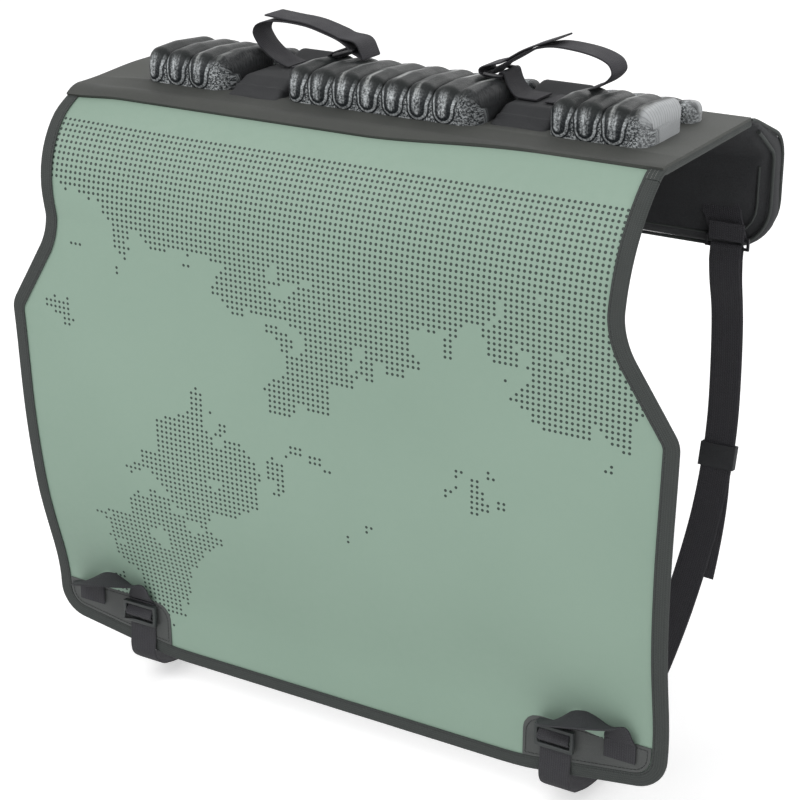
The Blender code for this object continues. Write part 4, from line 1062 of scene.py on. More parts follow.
def top_edge_stations(side):
    edge = side * (TOP_HALF_WIDTH - EDGE_INSET)
    shares = (0.995, 0.85, 0.7, 0.55, 0.4, 0.25)
    stations = [panel_station(edge, -BEND.length * (1 - share)) for share in shares]
    half_stack = (TOP_THICKNESS - TOP_PINCH) / 2
    for index in range(15):
        y = TOP_FRONT + GAP + (TOP_BACK - 0.0015 - TOP_FRONT) * index / 14
        z = (TOP_THICKNESS + TOP_PINCH) / 2 + end_droop(edge, y)
        stations.append((Vector((edge, y, z)), Vector((0, 0, 1)), half_stack))
    if side < 0:
        stations.reverse()
    return stations


for side_name, side in SIDES.items():
    stations = top_edge_stations(side)
    tape = folded_tape("top_end_tape_" + side_name, stations)
    finish_piece(tape, tape_cloth, "binding_tape", "top_edge_tape_" + side_name)
    rows = [tape_stitch_row(stations, inset) for inset in END_SEAM_INSETS]
    stitched("top_end_stitches_" + side_name, rows, pale_thread, "binding_tape", pitch=FINE_PITCH)

under = merged_copy("top_lining", "under_lining")
for vert in under.data.vertices:
    vert.co.z += end_droop(vert.co.x, vert.co.y)
finish_piece(under, lining_cloth, "lining_fabric", "top_lining")

# %% [markdown]
# ## The padded flap
# The flap is a thick pad: two sheets of cloth with foam between them and a gusset round the rim. It
# could be sculpted, but foam gives a fullness that is hard to draw. So it starts as a closed shape
# that is a little too thin, made of ring sections from its seam down to its rounded lower edge.


# %% Flap shape
FLAP_THICKNESS = 0.0255
FLAP_HALF_WIDTH = 0.291
FLAP_CORNER_RADIUS = 0.042
FLAP_SLACK = 0.0008
FLAT_HALF_WIDTH = 0.2876
FLAT_DEPTH = 0.02
INNER_FACE_SHIFT = 0.6


def flap_depth(distance):
    full = FLAP.marks[-2]
    return TOP_THICKNESS + (FLAP_THICKNESS - TOP_THICKNESS) * smooth_step(distance, 0.0, full)


def flap_frame(distance):
    along = FLAP.direction(distance)
    return FLAP.at(distance), Vector((-along.y, along.x))


def flap_outline(inset):
    edge = FLAP_HALF_WIDTH - inset
    end = FLAP.length + EDGE_INSET - inset
    return rounded_outline([(edge, 0.0), (edge, end, FLAP_CORNER_RADIUS), (0.0, end)], steps=10)


def flap_body():
    """Closed ring sections round the flap from its seam with the top down to its lower edge."""
    outline = flap_outline(0.0014)
    end = outline[-1].y
    even_stops = {0.001 + (end - 0.001) * index / 46 for index in range(46)}
    stops = sorted(even_stops | {point.y for point in outline[2:-1]})
    stops = [stop for stop in stops if stop < end - 0.0003] + [end]
    flats, turns = 84, 5
    count = 2 * (flats + turns) + 1

    def ring_point(step, half_width, depth):
        """Place round a section as (x, depth below the outer face, whether it is on the inner half)."""
        radius = min(depth / 2, 0.0075) * 0.98
        straight = half_width - radius
        step = step % (count - 1)
        if step < flats:
            return -straight + 2 * straight * step / flats, 0.0, False
        if step < flats + turns:
            angle = math.pi / 2 - math.pi * (step - flats) / turns
            return straight + radius * math.cos(angle), depth / 2 * (1 - math.sin(angle)), False
        if step < 2 * flats + turns:
            share = (step - flats - turns) / flats
            return straight - 2 * straight * share, depth, True
        angle = -math.pi / 2 - math.pi * (step - 2 * flats - turns) / turns
        return -straight + radius * math.cos(angle), depth / 2 * (1 - math.sin(angle)), True

    def place(column, row):
        distance = stops[row]
        at, normal = flap_frame(distance)
        depth = flap_depth(distance) - 2 * FLAP_SLACK
        thin = min((end - distance) / 0.012, 1.0)
        thin = 0.35 + 0.65 * math.sqrt(max(1 - (1 - thin) ** 2, 0.0))
        x, below, inner = ring_point(column, width_at(outline, distance), depth)
        spot = at - normal * (FLAP_SLACK + depth / 2 + (below - depth / 2) * thin)
        return Vector((x, spot.x, spot.y))

    def flat(column, row):
        x, below, inner = ring_point(column, FLAT_HALF_WIDTH, FLAT_DEPTH)
        return x + (INNER_FACE_SHIFT if inner else 0.0), stops[row]

    piece = shaped_grid("bed_flap", count, len(stops), place, flat)
    close_shell(piece, 0.00005)
    with edit_mode(piece):
        bpy.ops.mesh.normals_make_consistent(inside=False)
    return piece


print("the flap is", flap_depth(FLAP.length), "thick at its foot")

# %% [markdown]
# ## Swelling the flap
# Foam presses its cover outwards until the seams hold it. Blender's cloth simulation does the same
# when it is given inner pressure and no gravity. It runs for a few frames on an even mesh, no point
# may move more than 3 mm, and the upper end, which is sewn down, hardly moves. A subdivision then
# rounds the result.


# %% Swelling a pad with the cloth simulation
SWELL_FRAMES = 16


def swell(piece, voxel, pressure, cap, held):
    """Swell a closed shape as foam swells its cover, and never by more than the cap."""
    apply_modifier(piece, "REMESH", mode="VOXEL", voxel_size=voxel)
    rest = np.array([vert.co[:] for vert in piece.data.vertices])
    only(piece)
    cloth = piece.modifiers.new("cloth", "CLOTH")
    cloth.settings.use_pressure = True
    cloth.settings.uniform_pressure_force = pressure
    cloth.settings.effector_weights.gravity = 0.0
    cloth.settings.quality = 6
    cloth.point_cache.frame_start = 1
    cloth.point_cache.frame_end = SWELL_FRAMES
    scene = bpy.context.scene
    for number in range(1, SWELL_FRAMES + 1):
        scene.frame_set(number)
    only(piece)
    bpy.ops.object.modifier_apply(modifier=cloth.name)
    scene.frame_set(1)
    moved = np.array([vert.co[:] for vert in piece.data.vertices]) - rest
    length = np.maximum(np.linalg.norm(moved, axis=1, keepdims=True), 1e-9)
    moved *= np.minimum(1.0, cap / length)
    moved *= np.array([held(point) for point in rest])[:, None]
    for vert, point in zip(piece.data.vertices, rest + moved):
        vert.co = point
    return piece


def flap_hold(point):
    """The flap's upper end is sewn down, so it swells less there."""
    return min(max((-point[2] + 0.01) / 0.03, 0.0), 1.0)


flap = swell(flap_body(), voxel=0.0045, pressure=4.0, cap=0.003, held=flap_hold)
apply_modifier(flap, "SUBSURF", levels=1, render_levels=1)
finish_piece(flap, flap_cloth, "black_fabric",
             "flap_cover", "flap_padding", "flap_lining", "flap_edge", sharp_angle=60)
print("flap spans", [round(value, 4) for value in flap.dimensions])

# %% [markdown]
# ## Piping
# Thin cords are sewn into the flap's seams: one round its outer rim, one round its inner rim, and a
# raised line on its inner face. A curve with a round bevel makes such a cord in one step. The line
# on the inner face is a welded copy of the CAD solid.


# %% Piping on the flap's rims
PIPING_RADIUS = 0.0017
PIPING_INSET = 0.0052


def corded_edge(name, path, radius, closed=False):
    """A thin round bar or cord: a curve with a round bevel, made a mesh."""
    data = bpy.data.curves.new(name, "CURVE")
    data.dimensions = "3D"
    spline = data.splines.new("POLY")
    spline.points.add(len(path) - 1)
    for point, at in zip(spline.points, path):
        point.co = (*at, 1.0)
    data.bevel_depth = radius
    data.bevel_resolution = 3
    data.use_fill_caps = not closed
    spline.use_cyclic_u = closed
    only(placed(name, data))
    bpy.ops.object.convert(target="MESH")
    return bpy.context.active_object


def flap_rim(below_share, start):
    """A line round the flap's rim at a share of its depth below the outer face."""
    outline = flap_outline(PIPING_INSET)
    points = [Vector((outline[0].x, start + (outline[1].y - start) * index / 20)) for index in range(20)]
    points += outline[1:]
    path = []
    for point in mirrored_path(points):
        at, normal = flap_frame(min(point.y, FLAP.length))
        spot = at - normal * flap_depth(point.y) * below_share
        path.append(Vector((point.x, spot.x, spot.y - max(point.y - FLAP.length, 0.0))))
    return path


outer_piping = corded_edge("flap_outer_piping", flap_rim(0.08, start=0.006), PIPING_RADIUS)
finish_piece(outer_piping, tape_cloth, "binding_tape")
inner_rim = corded_edge("flap_inner_rim", flap_rim(0.93, start=0.03), PIPING_RADIUS)
finish_piece(inner_rim, tape_cloth, "binding_tape")
inner_piping = welded_copy("flap_piping", "flap_inner_piping", bevel=0)
finish_piece(inner_piping, tape_cloth, "binding_tape", "flap_piping", sharp_angle=70)

# %% [markdown]
# ## Ridged foam blocks
# Each block is moulded foam under a patterned skin. Ribs run over the top and end on the front as
# rounded fingers. They could be joined from cylinders, but then the skin would break at each rib. So
# the shape follows one rule: a side outline, raised by half-round ribs and drawn in at both ends.


# %% Block shape
RIB_PITCH = 0.0245
FIRST_RIB = 0.0125
LAST_RIB_TO_END = 0.029
TOP_RIB_OFFSET = 0.0087
FINGER_START = 0.0125
FINGER_HALF_WIDTH = 0.0094
BLOCK_FRONTS = {"left": -0.066, "middle": -0.066, "right": -0.058}
BLOCK_BACK = 0.020
BLOCK_MIDDLE = 0.004
SIDE_BLOCK_OFFSET = 0.199


def block_length(rib_count):
    return FIRST_RIB + (rib_count - 1) * RIB_PITCH + LAST_RIB_TO_END


def block_start(middle_rib_x, rib_count):
    return middle_rib_x - (rib_count - 1) / 2 * RIB_PITCH - FIRST_RIB


BLOCKS = {
    "left": (block_start(BLOCK_MIDDLE - SIDE_BLOCK_OFFSET, 3), 3),
    "middle": (block_start(BLOCK_MIDDLE, 7), 7),
    "right": (block_start(BLOCK_MIDDLE + SIDE_BLOCK_OFFSET, 3), 3),
}


def block_outline(depth, height, edge):
    return rounded_outline([
        (0.0, 0.0),
        (0.0, height * 0.96, edge),
        (depth * 0.42, height * 1.02, depth * 0.3),
        (depth, height * 0.86, edge * 1.15),
        (depth, 0.0),
    ], steps=10)


def corner_inset(to_end, radius):
    """How far a rounded corner draws a face in, at a distance from its end."""
    if to_end >= radius:
        return 0.0
    return radius - math.sqrt(radius ** 2 - (radius - to_end) ** 2)


def rib_reach(x, distance, length, ribs, height):
    """Sideways place on the nearest rib, from -1 to 1, and how near the point is to the rib's rim."""
    best = (1.0, 1.5)
    for centre, on_top_only in ribs:
        start = height * 1.05 if on_top_only else FINGER_START
        beyond = max(start - distance, 0.0, distance - (length - height * 0.9))
        half_width = FINGER_HALF_WIDTH + 0.0026 * smooth_step(distance, height * 0.5, height * 1.1)
        sideways = (x - centre) / half_width
        reach = math.hypot(sideways, beyond / FINGER_HALF_WIDTH)
        if reach < best[1]:
            best = (sideways, reach)
    return best


def ridged_block(name, left_x, rib_count, front, depth, height, rise):
    length = block_length(rib_count)
    edge = min(0.013, height * 0.4)
    line = Line(block_outline(depth, height, edge))
    centres = [FIRST_RIB + index * RIB_PITCH for index in range(rib_count)]
    after_last = centres[-1] + RIB_PITCH * 0.5
    ribs = [(centre, False) for centre in centres] + [(after_last + TOP_RIB_OFFSET, True)]
    plan = min(0.016, depth * 0.4)
    crown = edge * 0.85
    columns = round(length / 0.0009)
    rows = round(line.length / 0.0012)
    foot = TOP_THICKNESS + GAP
    samples = []
    for row in range(rows + 1):
        distance = line.length * row / rows
        along = line.direction(distance, 0.0008)
        normal = Vector((-along.y, along.x))
        if row in (0, rows):
            normal = Vector((math.copysign(1.0, normal.x), 0.0))
        samples.append((distance, line.at(distance), normal))
    samples.append(samples[0])

    def place(column, row):
        x = length * column / columns
        distance, at, normal = samples[row]
        to_end = min(x, length - x)
        plan_inset = corner_inset(to_end, plan)
        reach = min(rib_reach(x, distance, line.length, ribs, height)[1], 1.0)
        fullness = 0.34 + 0.66 * smooth_step(distance, height * 0.75, height * 1.25)
        lift = rise * fullness * (1.0 - reach ** 2.2) ** 0.5 * (1 - plan_inset / plan)
        y = at.x + normal.x * (lift - plan_inset)
        z = max(at.y + normal.y * (lift - corner_inset(to_end, crown)), 0.0)
        return Vector((left_x + x, front + y, foot + z))

    def flat(column, row):
        return length * column / columns, samples[row][0] if row <= rows else line.length + depth

    def rib_map(column, row):
        x, distance = length * column / columns, samples[row][0]
        sideways, reach = rib_reach(x, distance, line.length, ribs, height)
        if x > after_last:
            reach = 1.5 if distance < height else min(reach, 0.9)
        return 0.5 + 0.25 * min(max(sideways, -2.0), 2.0), min(reach, 1.5)

    piece = shaped_grid(name, columns + 1, len(samples), place, flat, {"Rib": rib_map})
    close_shell(piece)
    return piece


print("a block of 7 ribs is", block_length(7), "long and one of 3 ribs", block_length(3))

# %% [markdown]
# ## The blocks' skin
# The skin is a thin dark film printed with pale flecks, and its reflections are painted into its colour. The
# flecks show most on the upright faces. Those faces are painted light as a painted reflection, with a painted
# highlight round each rib's rim and painted shade on each finger's right side. The top is dark, partly the
# film's own colour and partly a painted dark reflection, with painted highlight streaks on the ribs. The right
# block's right end face is painted bright as a painted reflection, and the other ends are painted dark. A
# picture would stretch over the ribs, so the pattern is worked out from the Flat map, and a second map, Rib,
# says how near each point is to a rib.


# %% Patterned skin
def patterned_skin(name, length, end_light):
    """The skin of a block of one length, whose right end face has a painted reflection, bright or dark."""
    finish = Finish(name)
    flat = finish.flat()
    across, along = flat.part(0), flat.part(1)
    rib = finish.node("ShaderNodeUVMap", {"uv_map": "Rib"}, [])
    sideways = (rib.part(0) - 0.5) * 4.0
    reach = rib.part(1)
    specks = finish.noise(flat, 520.0, 3.0, 0.8).ramp(0.42, 0.60)
    streaks = finish.noise(finish.vector(across, along * 0.16), 560.0, 2.0, 0.6).ramp(0.38, 0.62)
    smear = finish.noise(finish.place(), 70.0, 3.0, 0.6)
    upright = along.ramp(0.019, 0.029, 1.0, 0.0)
    at_end = across.ramp(length - 0.011, length - 0.006)
    # Painted highlight: a light line round each finger's rim.
    rim = reach.ramp(0.72, 0.82) * reach.ramp(0.95, 1.04, 1.0, 0.0)
    # Painted reflection: each finger's middle is light, with painted shade on its right side.
    core_reflection = reach.ramp(0.30, 0.62, 1.0, 0.0) * sideways.ramp(0.05, 0.45, 1.0, 0.15)
    plain = reach.ramp(1.08, 1.25)
    # The upright faces are painted light as a painted reflection, over the pale flecks.
    front = core_reflection * (streaks * 0.35 + specks * 0.30 + 0.14)
    front = front + rim * (specks * 0.30 + 0.36) + plain * (specks * 0.50 + 0.08)
    front = (front + specks * 0.12) * smear.ramp(0.25, 0.7, 0.72, 1.1)
    # Painted highlight: light streaks along the right flank of each rib on the top, broken up by noise.
    ridge_highlight = sideways.ramp(-0.50, -0.30) * sideways.ramp(-0.15, 0.10, 1.0, 0.0) * reach.ramp(0.95, 1.0, 1.0, 0.0)
    highlight_breaks = finish.noise(finish.vector(across * 0.5, along), 900.0, 1.0).ramp(0.30, 0.55)
    gleam = finish.noise(finish.vector(across, along * 0.3), 60.0, 1.0).ramp(0.44, 0.66, 0.05, 0.62)
    top = ridge_highlight * (highlight_breaks * 0.5 + 0.5) * gleam + specks * 0.05
    # The right end face's painted reflection has fine curved lines; end_light makes it bright or dark.
    arcs = ((along * 2.0 + finish.noise(flat, 40.0) * 0.006) * 2 * math.pi / 0.0090).math("SINE")
    end = (arcs.ramp(0.55, 0.95, 1.0, 0.0) * 0.28 + 0.64) * end_light + specks * 0.06
    # Painted reflection tones: light on the upright faces, dark on the top, bright or dark on the end face.
    front_reflection_tone = finish.blend(front.ramp(0.0, 1.0), colour(27, 31, 34), colour(212, 217, 219))
    top_reflection_tone = finish.blend(top.ramp(0.0, 1.0), colour(36, 39, 39), colour(205, 208, 206))
    end_reflection_tone = finish.blend(end, colour(20, 22, 24), colour(186, 189, 191))
    side_reflection_tone = finish.blend(upright, top_reflection_tone, front_reflection_tone)
    finish.put("Base Color", finish.blend(at_end * (1.0 - upright * 0.75), side_reflection_tone, end_reflection_tone))
    finish.put("Roughness", smear.ramp(0.3, 0.7, 0.30, 0.48))
    finish.put("Specular IOR Level", 0.14)
    finish.put("Coat Weight", smear.ramp(0.3, 0.8, 0.0, 0.12))
    finish.relief(specks * 0.5 + streaks * 0.3, 0.00012)
    return finish.material


for place_name, (left_x, rib_count) in BLOCKS.items():
    # Only the right block's right end face is painted bright as a painted reflection; the others are painted
    # dark.
    end_light = 1.0 if place_name == "right" else 0.05
    skin = patterned_skin("patterned_skin_" + place_name, block_length(rib_count), end_light)
    front = BLOCK_FRONTS[place_name]
    rows = {
        "front": dict(front=front, depth=BLOCK_BACK - front, height=0.0265, rise=0.0068),
        "rear": dict(front=0.036, depth=0.024, height=0.0165, rise=0.0036),
    }
    for row_name, sizes in rows.items():
        block = ridged_block(row_name + "_ridges_" + place_name, left_x, rib_count, **sizes)
        finish_piece(block, skin, "block_foam", row_name + "_block_" + place_name, sharp_angle=50)
    print("blocks on the", place_name, "have", rib_count, "ribs")

# %% [markdown]
# ## Cradle pads
# Between the blocks a low pad takes the underside of the bicycle's down tube. Its cloth is pulled
# over soft foam and gathers into a few folds along the front edge. The folds are small waves added
# to the side outline, because they have to stay where the seam gathers them.


# %% Cradle pads
CUSHION_FRONTS = {"left": -0.0710, "right": -0.0495}
CUSHION_GAP = 0.0038


def block_right_end(name):
    left_x, rib_count = BLOCKS[name]
    return left_x + block_length(rib_count)


CHANNELS = {
    "left": (block_right_end("left"), BLOCKS["middle"][0]),
    "right": (block_right_end("middle"), BLOCKS["right"][0]),
}


def cradle_pad(side_name):
    low, high = CHANNELS[side_name]
    low += CUSHION_GAP
    high -= CUSHION_GAP
    foot = TOP_THICKNESS + GAP + 0.0001
    front = CUSHION_FRONTS[side_name]
    outline = rounded_outline([
        (front, 0.0),
        (front + 0.002, 0.0035, 0.0015),
        (front + 0.028, 0.0155, 0.012),
        (0.024, 0.0155, 0.016),
        (0.050, 0.0235, 0.008),
        (0.0635, 0.0),
    ], steps=6)
    line = Line(outline)
    columns, rows = 45, 96

    def place(column, row):
        share = column / (columns - 1)
        x = low + (high - low) * share
        if row == rows - 1:
            return Vector((x, outline[0].x, foot))
        distance = line.length * row / (rows - 2)
        at = line.at(distance)
        inset = corner_inset(min(x - low, high - x), 0.006)
        fold = 0.0013 * math.sin(x * 170.0 + 260.0 * distance) * math.exp(-((distance - 0.010) / 0.009) ** 2)
        ledge = 0.0016 * math.exp(-((distance - 0.016) / 0.0020) ** 2)
        y = at.x - max(fold, -0.0006) * 0.5 - ledge * 0.3
        z = at.y - inset * min(at.y / 0.012, 1.0) * 0.8 + fold * 0.5 + ledge
        return Vector((x, y + inset * 0.4 * (1 if y < 0.018 else -1), foot + max(z, 0.0)))

    def flat(column, row):
        return (high - low) * column / (columns - 1), line.length * row / (rows - 2)

    piece = shaped_grid("cradle_cushion_" + side_name, columns, rows, place, flat)
    close_shell(piece)
    return piece


for side_name in SIDES:
    cushion = finish_piece(cradle_pad(side_name), flap_cloth, "black_fabric",
                           "cradle_pad_" + side_name, sharp_angle=50)
    print("the", side_name, "cradle pad is", round(cushion.dimensions.x, 4), "wide")

# %% [markdown]
# ## Webbing
# Every strap is 30 mm webbing, and only the anchors on the flap are wider. A curve with a bevel
# would turn about its own line, so each band is swept with its width direction given at every step.
# The Flat map runs along it, so the weave follows each bend and fold.


# %% Straps
STRAP_WIDTH = 0.030
STRAP_THICKNESS = 0.0016
UPPER_SECTION = [(-0.5, 0.0), (-0.48, 0.44), (-0.44, 0.5), (-0.22, 0.5), (0.0, 0.5), (0.22, 0.5),
                 (0.44, 0.5), (0.48, 0.44)]
STRAP_SECTION = UPPER_SECTION + [(-a, -f) for a, f in UPPER_SECTION] + [(-0.5, 0.0)]


def strap(name, route, sides, widths, square=True):
    """Flat band: sides are its width directions and widths its widths."""
    marks = Line(route).marks
    last = len(route) - 1
    frames = []
    for index, at in enumerate(route):
        along = (route[min(index + 1, last)] - route[max(index - 1, 0)]).normalized()
        across = sides[index]
        if square:
            across = (across - along * across.dot(along)).normalized()
        frames.append((at, across, along.cross(across).normalized(), widths[index]))

    def place(column, row):
        at, across, face, width = frames[row]
        a, f = STRAP_SECTION[column]
        return at + across * a * width + face * f * STRAP_THICKNESS

    def flat(column, row):
        a, f = STRAP_SECTION[column]
        return a * frames[row][3] + (0.05 if f < 0 else 0.0), marks[row]

    piece = shaped_grid(name, len(STRAP_SECTION), len(route), place, flat)
    close_shell(piece, 0.00001)
    return piece


print("a strap's section has", len(STRAP_SECTION) - 1, "points")

# %% [markdown]
# ## Frame straps and their rings
# Over each cradle pad a long strap makes a tall loop, passes through a ring and turns back along
# itself. A short strap holds the ring. A simulated strap would fall over where stiff webbing stands,
# so each route is a smooth curve through points of its side view, as (inward, height above the top).


# %% Frame straps and their rings
LOOP_Y = 0.005
BAR_WRAP_RADIUS = 0.0028
RING_BAR_RADIUS = 0.0018
RING_HALF_LENGTH = 0.0187
RING_CORNER = 0.003
FRAME_ROUTES = {
    "left": ((-0.0010, 0.0175), (-0.0090, 0.0195), (-0.0190, 0.0240), (-0.0290, 0.0310), (-0.0360, 0.0390),
             (-0.0385, 0.0455), (-0.0345, 0.0520), (-0.0230, 0.0560), (-0.0050, 0.0575), (0.0175, 0.0560),
             (0.0350, 0.0520), (0.0500, 0.0475), (0.0590, 0.0430)),
    "right": ((-0.0060, 0.0175), (-0.0160, 0.0178), (-0.0250, 0.0200), (-0.0330, 0.0255), (-0.0430, 0.0312),
              (-0.0550, 0.0365), (-0.0630, 0.0430), (-0.0655, 0.0490), (-0.0600, 0.0565), (-0.0420, 0.0620),
              (-0.0150, 0.0642), (0.0020, 0.0615), (0.0160, 0.0555), (0.0290, 0.0475), (0.0400, 0.0410)),
}
STRAP_BENDS = {
    "left": ((0.0725, 0.0347), (0.0757, 0.0328), (0.0758, 0.0340), (0.0735, 0.0392), (0.0705, 0.0447),
             (0.0650, 0.0478)),
    "right": ((0.0537, 0.0334), (0.0562, 0.0350), (0.0566, 0.0376), (0.0540, 0.0400), (0.0470, 0.0424)),
}
RETURN_STARTS = {"left": 0.0520, "right": 0.0400}
FREE_ENDS = {"left": (-0.0120, (-0.0255, 0.0615)), "right": (-0.0020, (-0.0150, 0.0707))}
FAR_BARS = {"left": (0.0660, 0.0400), "right": (0.0500, 0.0355)}
NEAR_BARS = {"left": (0.0485, 0.0338), "right": (0.0350, 0.0348)}
RING_WRAP_STARTS = {"left": math.pi * 0.62, "right": math.pi * 0.79}
RING_ROUTES = {
    "left": ((0.0020, 0.0178), (0.0120, 0.0186), (0.0225, 0.0232), (0.0350, 0.0290), (0.0430, 0.0340)),
    "right": ((0.0020, 0.0178), (0.0120, 0.0178), (0.0210, 0.0186), (0.0262, 0.0232), (0.0300, 0.0290)),
}


def loop_strap(name, side_name, points):
    middle = sum(CHANNELS[side_name]) / 2
    side = SIDES[side_name]
    route = [Vector((middle - side * point.x, LOOP_Y, TOP_THICKNESS + point.y)) for point in points]
    return strap(name, route, [Vector((0, 1, 0))] * len(route), [STRAP_WIDTH] * len(route))


def long_loop(side_name):
    inner = smooth_curve([Vector(point) for point in FRAME_ROUTES[side_name]], 8)
    turn = arc(FAR_BARS[side_name], BAR_WRAP_RADIUS, math.pi * 1.25, math.pi * 1.5, 5)
    leaves_at, tip = FREE_ENDS[side_name]
    returning = [Vector(point) for point in STRAP_BENDS[side_name]]
    top = max(range(len(inner)), key=lambda index: inner[index].y)
    for index in range(len(inner) - 4, top - 32, -4):
        at = inner[index]
        if at.x > RETURN_STARTS[side_name]:
            continue
        if at.x < leaves_at:
            break
        along = (inner[index + 1] - inner[index - 1]).normalized()
        returning.append(at + 0.0022 * Vector((-along.y, along.x)))
    returning.append(Vector(tip))
    return inner + turn + smooth_curve(returning, 5)


def ring_loop(side_name):
    turn = arc(NEAR_BARS[side_name], BAR_WRAP_RADIUS, RING_WRAP_STARTS[side_name], -math.pi * 0.55, 14)
    lead = smooth_curve([Vector(point) for point in RING_ROUTES[side_name]] + [turn[0]], 8)
    return lead[:-1] + turn


def loop_ring(side_name):
    """A round bar bent to a rectangle that lies between the two straps."""
    middle = sum(CHANNELS[side_name]) / 2
    far, near = Vector(FAR_BARS[side_name]), Vector(NEAR_BARS[side_name])
    short = (far - near).normalized()
    centre = (far + near) / 2
    half_short = (far - near).length / 2
    path = []
    for sign_u, sign_y, start in ((1, 1, 0.0), (-1, 1, 0.5), (-1, -1, 1.0), (1, -1, 1.5)):
        for index in range(5):
            angle = math.pi * (start + 0.5 * index / 4)
            y = LOOP_Y + sign_y * (RING_HALF_LENGTH - RING_CORNER) + RING_CORNER * math.sin(angle)
            across = sign_u * (half_short - RING_CORNER) + RING_CORNER * math.cos(angle)
            spot = centre + short * across
            path.append(Vector((middle - SIDES[side_name] * spot.x, y, TOP_THICKNESS + spot.y)))
    return corded_edge("loop_ring_" + side_name, path, RING_BAR_RADIUS, closed=True)


print("the rings are", 2 * (RING_HALF_LENGTH + RING_BAR_RADIUS), "long")

# %% [markdown]
# ## Moulded plastic
# Rings, buckles and links are moulded plastic. It is nearly plain, so a fine grain in the relief and
# a slow change of gloss do the work, and two tones tell the buckles from the rest.


# %% Plastic finish
def plastic_finish(name, dark, light):
    finish = Finish(name)
    at = finish.place()
    grain = finish.noise(at, 700.0, 2.0)
    wear = finish.noise(at, 60.0, 3.0)
    finish.put("Base Color", finish.blend(wear, dark, light))
    finish.put("Roughness", wear.ramp(0.3, 0.7, 0.28, 0.46))
    finish.relief(grain, 0.00006)
    return finish.material


plastic = plastic_finish("black_plastic", colour(24, 24, 26), colour(44, 44, 47))
buckle_plastic = plastic_finish("grey_plastic", colour(44, 47, 47), colour(64, 68, 68))
for side_name in SIDES:
    long_strap = loop_strap("frame_webbing_" + side_name, side_name, long_loop(side_name))
    finish_piece(long_strap, strap_cloth, "webbing", "frame_strap_" + side_name)
    short_strap = loop_strap("ring_webbing_" + side_name, side_name, ring_loop(side_name))
    finish_piece(short_strap, strap_cloth, "webbing", "ring_strap_" + side_name)
    finish_piece(loop_ring(side_name), plastic, "moulded_plastic", "strap_ring_" + side_name, sharp_angle=60)
    print("the", side_name, "frame strap stands", round(long_strap.dimensions.z, 4), "high")

# %% [markdown]
# ## Lower corners
# Each lower corner carries a stitched patch, a ladder-lock buckle, a grab loop above it and a strap
# that runs through the buckle and down under the edge. The patch and the buckle are hard enough to
# use the CAD solids, welded and bevelled. The grab loop is swept, since its band twists as it turns.


# %% Patches, buckles and grab loops
BUCKLE_X = 0.2235
BUCKLE_DISTANCE = OUTLINE[-1].y - 0.042
STRAP_LEVEL = 0.001 + 2 * GAP + STRAP_THICKNESS / 2
PATCH_INSET = 0.0139
PATCH_HEIGHT = 0.044
LOOP_LEAN = math.radians(30)
LOOP_SPREAD = 0.0608
LOOP_RISE = 0.0225
LOOP_FOOT = 0.0142


def patch_outline(inset):
    """The patch's edge on the right corner, as points (x, distance down the sheet)."""
    edge = panel_outline(PATCH_INSET + inset)
    top = PANEL_DROP - PATCH_INSET - PATCH_HEIGHT + inset
    inner = 0.191 + inset
    outer = [point for point in edge if point.y > top and point.x > inner + 0.003]
    start = rounded_outline([(0.25, top), (inner, top, 0.016), (inner, outer[-1].y)], steps=8)
    return start + outer[::-1] + [Vector((outer[0].x, top)), Vector((0.25, top))]


def patch_stitches(side):
    row = []
    for point in patch_outline(0.003):
        normal = panel_frame(point.y)[1]
        outward = Vector((0, normal.x, normal.y))
        row.append((on_panel(side * point.x, point.y, GAP + 0.0011), outward))
    return row


def grab_loop(side):
    """The loop rises from the buckle, turns over while its band leans, and ends beside the buckle."""
    path = []
    steps = 60
    for index in range(steps + 1):
        share = index / steps
        turn = math.pi * share
        leaning = LOOP_LEAN * smooth_step(share, 0.0, 0.25) * smooth_step(1 - share, 0.0, 0.25)
        across = LOOP_SPREAD / 2 * (1 - math.cos(turn))
        path.append((across, LOOP_FOOT + LOOP_RISE * math.sin(turn), turn + side * leaning))
    for index in range(1, 9):
        path.append((LOOP_SPREAD, LOOP_FOOT - 0.018 * index / 8, math.pi))
    route, sides = [], []
    for x, above, angle in path:
        distance = BUCKLE_DISTANCE - above
        outward = Vector((0, panel_frame(distance)[1].x, 0))
        height = STRAP_LEVEL + 2 * GAP + STRAP_WIDTH / 2 * abs(math.sin(angle))
        route.append(on_panel(side * (BUCKLE_X + x), distance, height))
        sides.append(Vector((side, 0, 0)) * math.cos(angle) - outward * math.sin(angle))
    return route, sides


for side_name, side in SIDES.items():
    patch = welded_copy("corner_patch_" + side_name, "corner_cloth_" + side_name, bevel=0.0003)
    finish_piece(patch, patch_cloth, "patch_fabric", "corner_patch_" + side_name)
    stitched("patch_stitches_" + side_name, [patch_stitches(side)], dark_thread, "patch_fabric",
             pitch=FINE_PITCH)
    buckle = welded_copy("buckle_" + side_name, "ladder_buckle_" + side_name, bevel=0.0013)
    finish_piece(buckle, buckle_plastic, "moulded_plastic", "buckle_" + side_name)
    route, sides = grab_loop(side)
    loop = strap("grab_webbing_" + side_name, route, sides, [STRAP_WIDTH] * len(route))
    finish_piece(loop, strap_cloth, "webbing", "pull_loop_" + side_name)
    print("the", side_name, "grab loop spans", [round(value, 4) for value in loop.dimensions])

# %% [markdown]
# ## Straps under the tailgate
# A strap runs from each buckle down over the lower edge, back under the tailgate and up to the
# flap. There it turns round a link and comes down again behind itself, held by a cloth keeper. It is
# one band on one route, so it can't part at a joint. The link and the keeper are welded CAD solids.


